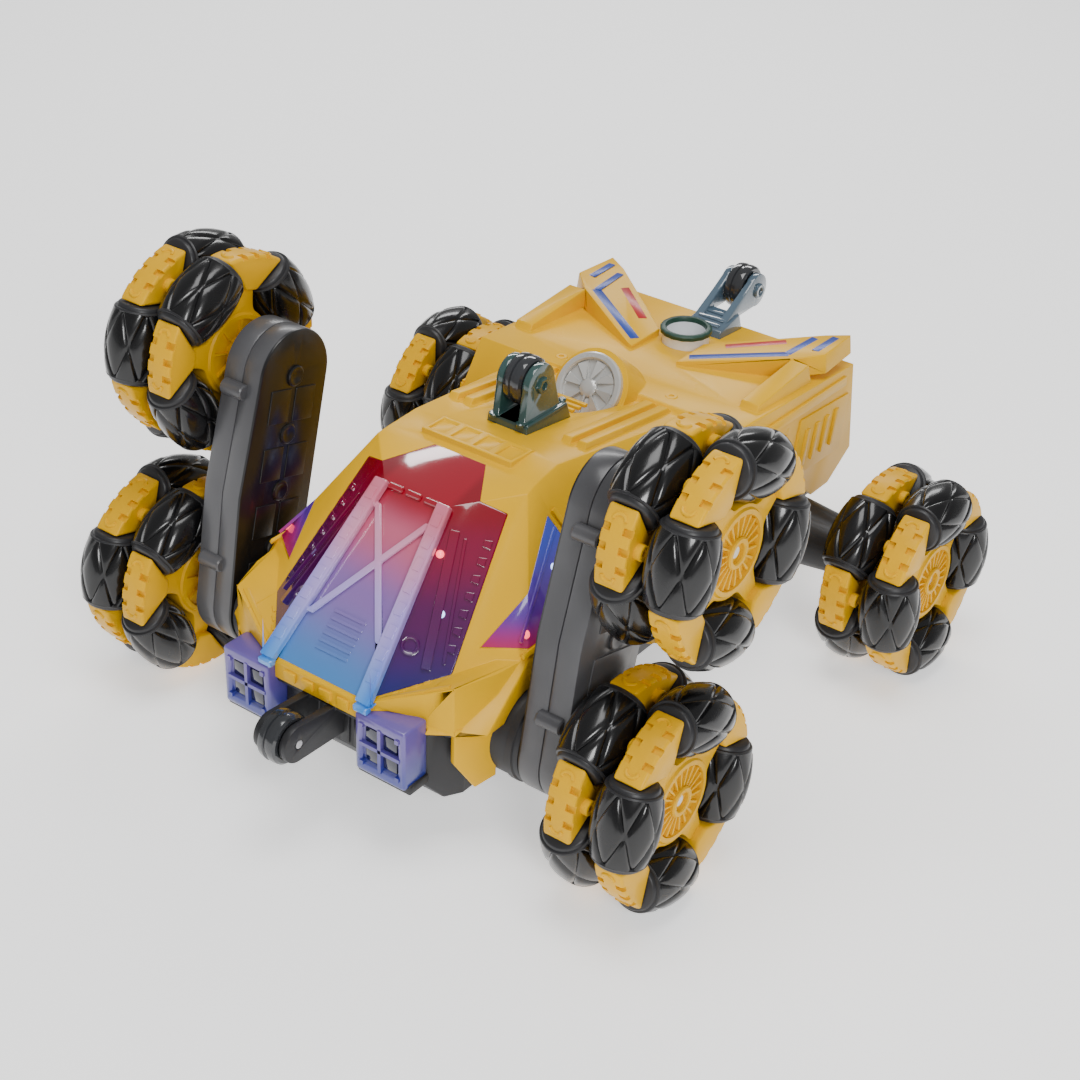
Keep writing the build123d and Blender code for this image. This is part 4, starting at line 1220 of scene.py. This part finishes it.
# ---- Idler wheels in their brackets. Small glossy wheels that keep the car rolling on its roof, nose or
# tail;
# the roof and rear ones run in smoked clear brackets bolted to the body.
smoked = moulded("smoked_clear", (0.03, 0.075, 0.07), 0.12, shade=0.6, coat=1.0)
smoked_blue = moulded("smoked_blue", (0.09, 0.14, 0.19), 0.14, shade=0.6, coat=1.0)
for node, finish, pin, ear_x in (
    ("roof_bracket", smoked, place(0, 70, 126.985), 7.3),
    ("rear_bracket", smoked_blue, place(0, 219, 112), 7.3),
):
    shape = cad_shape(node, 0.6 * mm)
    for sign in (1, -1):
        nut = [
            (3.2 * mm, -0.3 * mm),
            (3.2 * mm, 0.9 * mm),
            (2.7 * mm, 1.3 * mm),
            (1.8 * mm, 1.3 * mm),
            (1.5 * mm, 0.4 * mm),
        ]
        turned(
            shape,
            nut,
            pin + Vector((sign * ear_x * mm, 0, 0)),
            (sign, 0, 0),
            6 if node == "roof_bracket" else 28,
        )
    if node == "rear_bracket":
        for k in range(3):
            slab(
                shape,
                [
                    place(x, 191.5 + 4 * k, 104.4 + 0.85 * k) for x in (-6, 6)
                ] + [place(x, 193.5 + 4 * k, 104.8 + 0.85 * k) for x in (6, -6)],
                0.6 * mm,
            )
    else:
        for reach in (59.6, 84.6):
            for x in (-6, 6):
                turned(
                    shape,
                    [(1.6 * mm, -0.5 * mm), (1.6 * mm, 0.6 * mm), (1.1 * mm, 1.0 * mm)],
                    place(x, reach, 114.6),
                    (0, 0, 1),
                    20,
                )
    piece(f"{node}_made", as_mesh(f"{node}_made", shape), "car_body", node, finish)

idler_gloss = moulded("idler_plastic", (0.03, 0.032, 0.036), 0.16, shade=0.7, coat=0.7)
for node in ("front_idler_wheel", "roof_idler_wheel", "rear_idler_wheel"):
    low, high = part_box(node)
    radius = (high.z - low.z) / 2
    half = (high.x - low.x) / 2
    profile = [
        (1.6 * mm, -half), (3.4 * mm, -half), (3.6 * mm, -half + 0.8 * mm), (
            radius - 2.6 * mm, -half + 0.9 * mm
        ),
        (radius - 2.2 * mm, -half), (radius - 1.1 * mm, -half), (
            radius - 0.3 * mm, -half + 0.7 * mm
        ), (radius, -half + 1.8 * mm),
        (radius, -1.0 * mm), (
            radius - 0.7 * mm, -0.6 * mm
        ), (radius - 0.7 * mm, 0.6 * mm), (radius, 1.0 * mm),
        (radius, half - 1.8 * mm), (
            radius - 0.3 * mm, half - 0.7 * mm
        ), (radius - 1.1 * mm, half), (radius - 2.2 * mm, half),
        (radius - 2.6 * mm, half - 0.9 * mm), (3.6 * mm, half - 0.8 * mm), (3.4 * mm, half), (1.6 * mm, half),
    ]
    shape = bmesh.new()
    turned(shape, profile, (low + high) / 2, (1, 0, 0), 64)
    piece(f"{node}_made", as_mesh(f"{node}_made", shape), node, node, idler_gloss, 25)

# ---- Filler ring. A dark green rubber ring, rolled over the yellow neck of the mist tank.
ring_rubber = moulded("filler_green", (0.015, 0.06, 0.04), 0.4, shade=0.7)
low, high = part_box("filler_ring")
outer = (high.x - low.x) / 2
thick = high.z - low.z
shape = bmesh.new()
sections = 64
grips = []
for k in range(sections):
    a = 2 * pi * k / sections
    ridge = 0.18 * mm if k % 4 < 2 else 0
    section = ((8.0, 0.0), (8.0, 1.5), (8.4, 2.0), (9.6, 2.0), (10.3, 1.4), (10.3, 0.0))
    loop = []
    for r, h in section:
        radius = min(r * mm + (ridge if r > 10 else 0), outer)
        loop.append(
            shape.verts.new(
                (
                    (low.x + high.x) / 2 + radius * cos(a),
                    (low.y + high.y) / 2 + radius * sin(a),
                    low.z + h / 2 * thick,
                )
            )
        )
    grips.append(loop)
for k in range(sections):
    one, other = grips[k], grips[(k + 1) % sections]
    for j in range(6):
        shape.faces.new((one[j], other[j], other[(j + 1) % 6], one[(j + 1) % 6]))
bmesh.ops.recalc_face_normals(shape, faces=shape.faces)
piece(
    "filler_ring_made",
    as_mesh("filler_ring_made", shape),
    "car_body",
    "filler_ring",
    ring_rubber,
    40,
)

# ---- Everything inside keeps its CAD shape: nylon gears, steel pins and screws, the motors' boxes, the
# board, the battery and the tank. Each has its own material.
nylon = moulded("gear_nylon", (0.8, 0.78, 0.7), 0.45, shade=0.9)
steel = Finish("steel", (0.6, 0.6, 0.62), 0.25, Metallic=1.0)
x, y, z = steel.axes()
turning = (x * 5200).math("SINE", x * 5200 + steel.noise(400.0) * 6)
steel.set("Roughness", turning * 0.08 + 0.26)
steel.set("Base Color", steel.blend(steel.noise(60.0), (0.5, 0.5, 0.52), (0.7, 0.7, 0.71)))
board = Finish("board_green", (0.02, 0.2, 0.06), 0.3, Coat_Weight=0.5)
x, y, z = board.axes()
tracks = (x * 900).math(
    "SINE", x * 900
).band(0.75, 1.1, 0.1) * (y * 130).math("SINE", y * 130).between(-0.3, -0.2)
colour = board.blend(tracks, (0.015, 0.16, 0.05), (0.06, 0.34, 0.12))
board.set("Base Color", board.blend(z.between(0.0577, 0.0578), colour, (0.02, 0.02, 0.02)))
board.set("Roughness", board.noise(120.0) * 0.2 + 0.22)
wrap = Finish("battery_wrap", (0.03, 0.12, 0.5), 0.22, Coat_Weight=0.8)
x, y, z = wrap.axes()
cells = (y * 450).math("SINE", y * 450).between(0.96, 1.0)
wrap.set(
    "Base Color",
    wrap.blend(
        cells, wrap.blend(wrap.noise(30.0), (0.02, 0.1, 0.42), (0.04, 0.15, 0.58)), (0.01, 0.03, 0.15)
    ),
)
wrap.bump(wrap.noise(300.0), 0.0001, 0.5)
tank = moulded("tank_white", (0.82, 0.84, 0.86), 0.3, shade=0.92, coat=0.2)
paints = {
    "swing_layshaft": nylon,
    "circuit_board": board.material,
    "battery_pack": wrap.material,
    "mist_tank": tank,
    "body_screws": steel.material,
    "idler_pins": steel.material,
    "motor_gearboxes": black_plastic,
    "battery_cover": black_plastic,
    "power_switch": black_plastic,
}
for side in sides:
    paints[f"{side}_rear_axle"] = steel.material
    for gear in (
        "front_axle_gear",
        "low_idler_gear",
        "middle_idler_gear",
        "high_idler_gear",
        "upper_axle_gear",
        "swing_gear",
    ):
        paints[f"{side}_{gear}"] = nylon
for node, finish in paints.items():
    paint(node, finish)
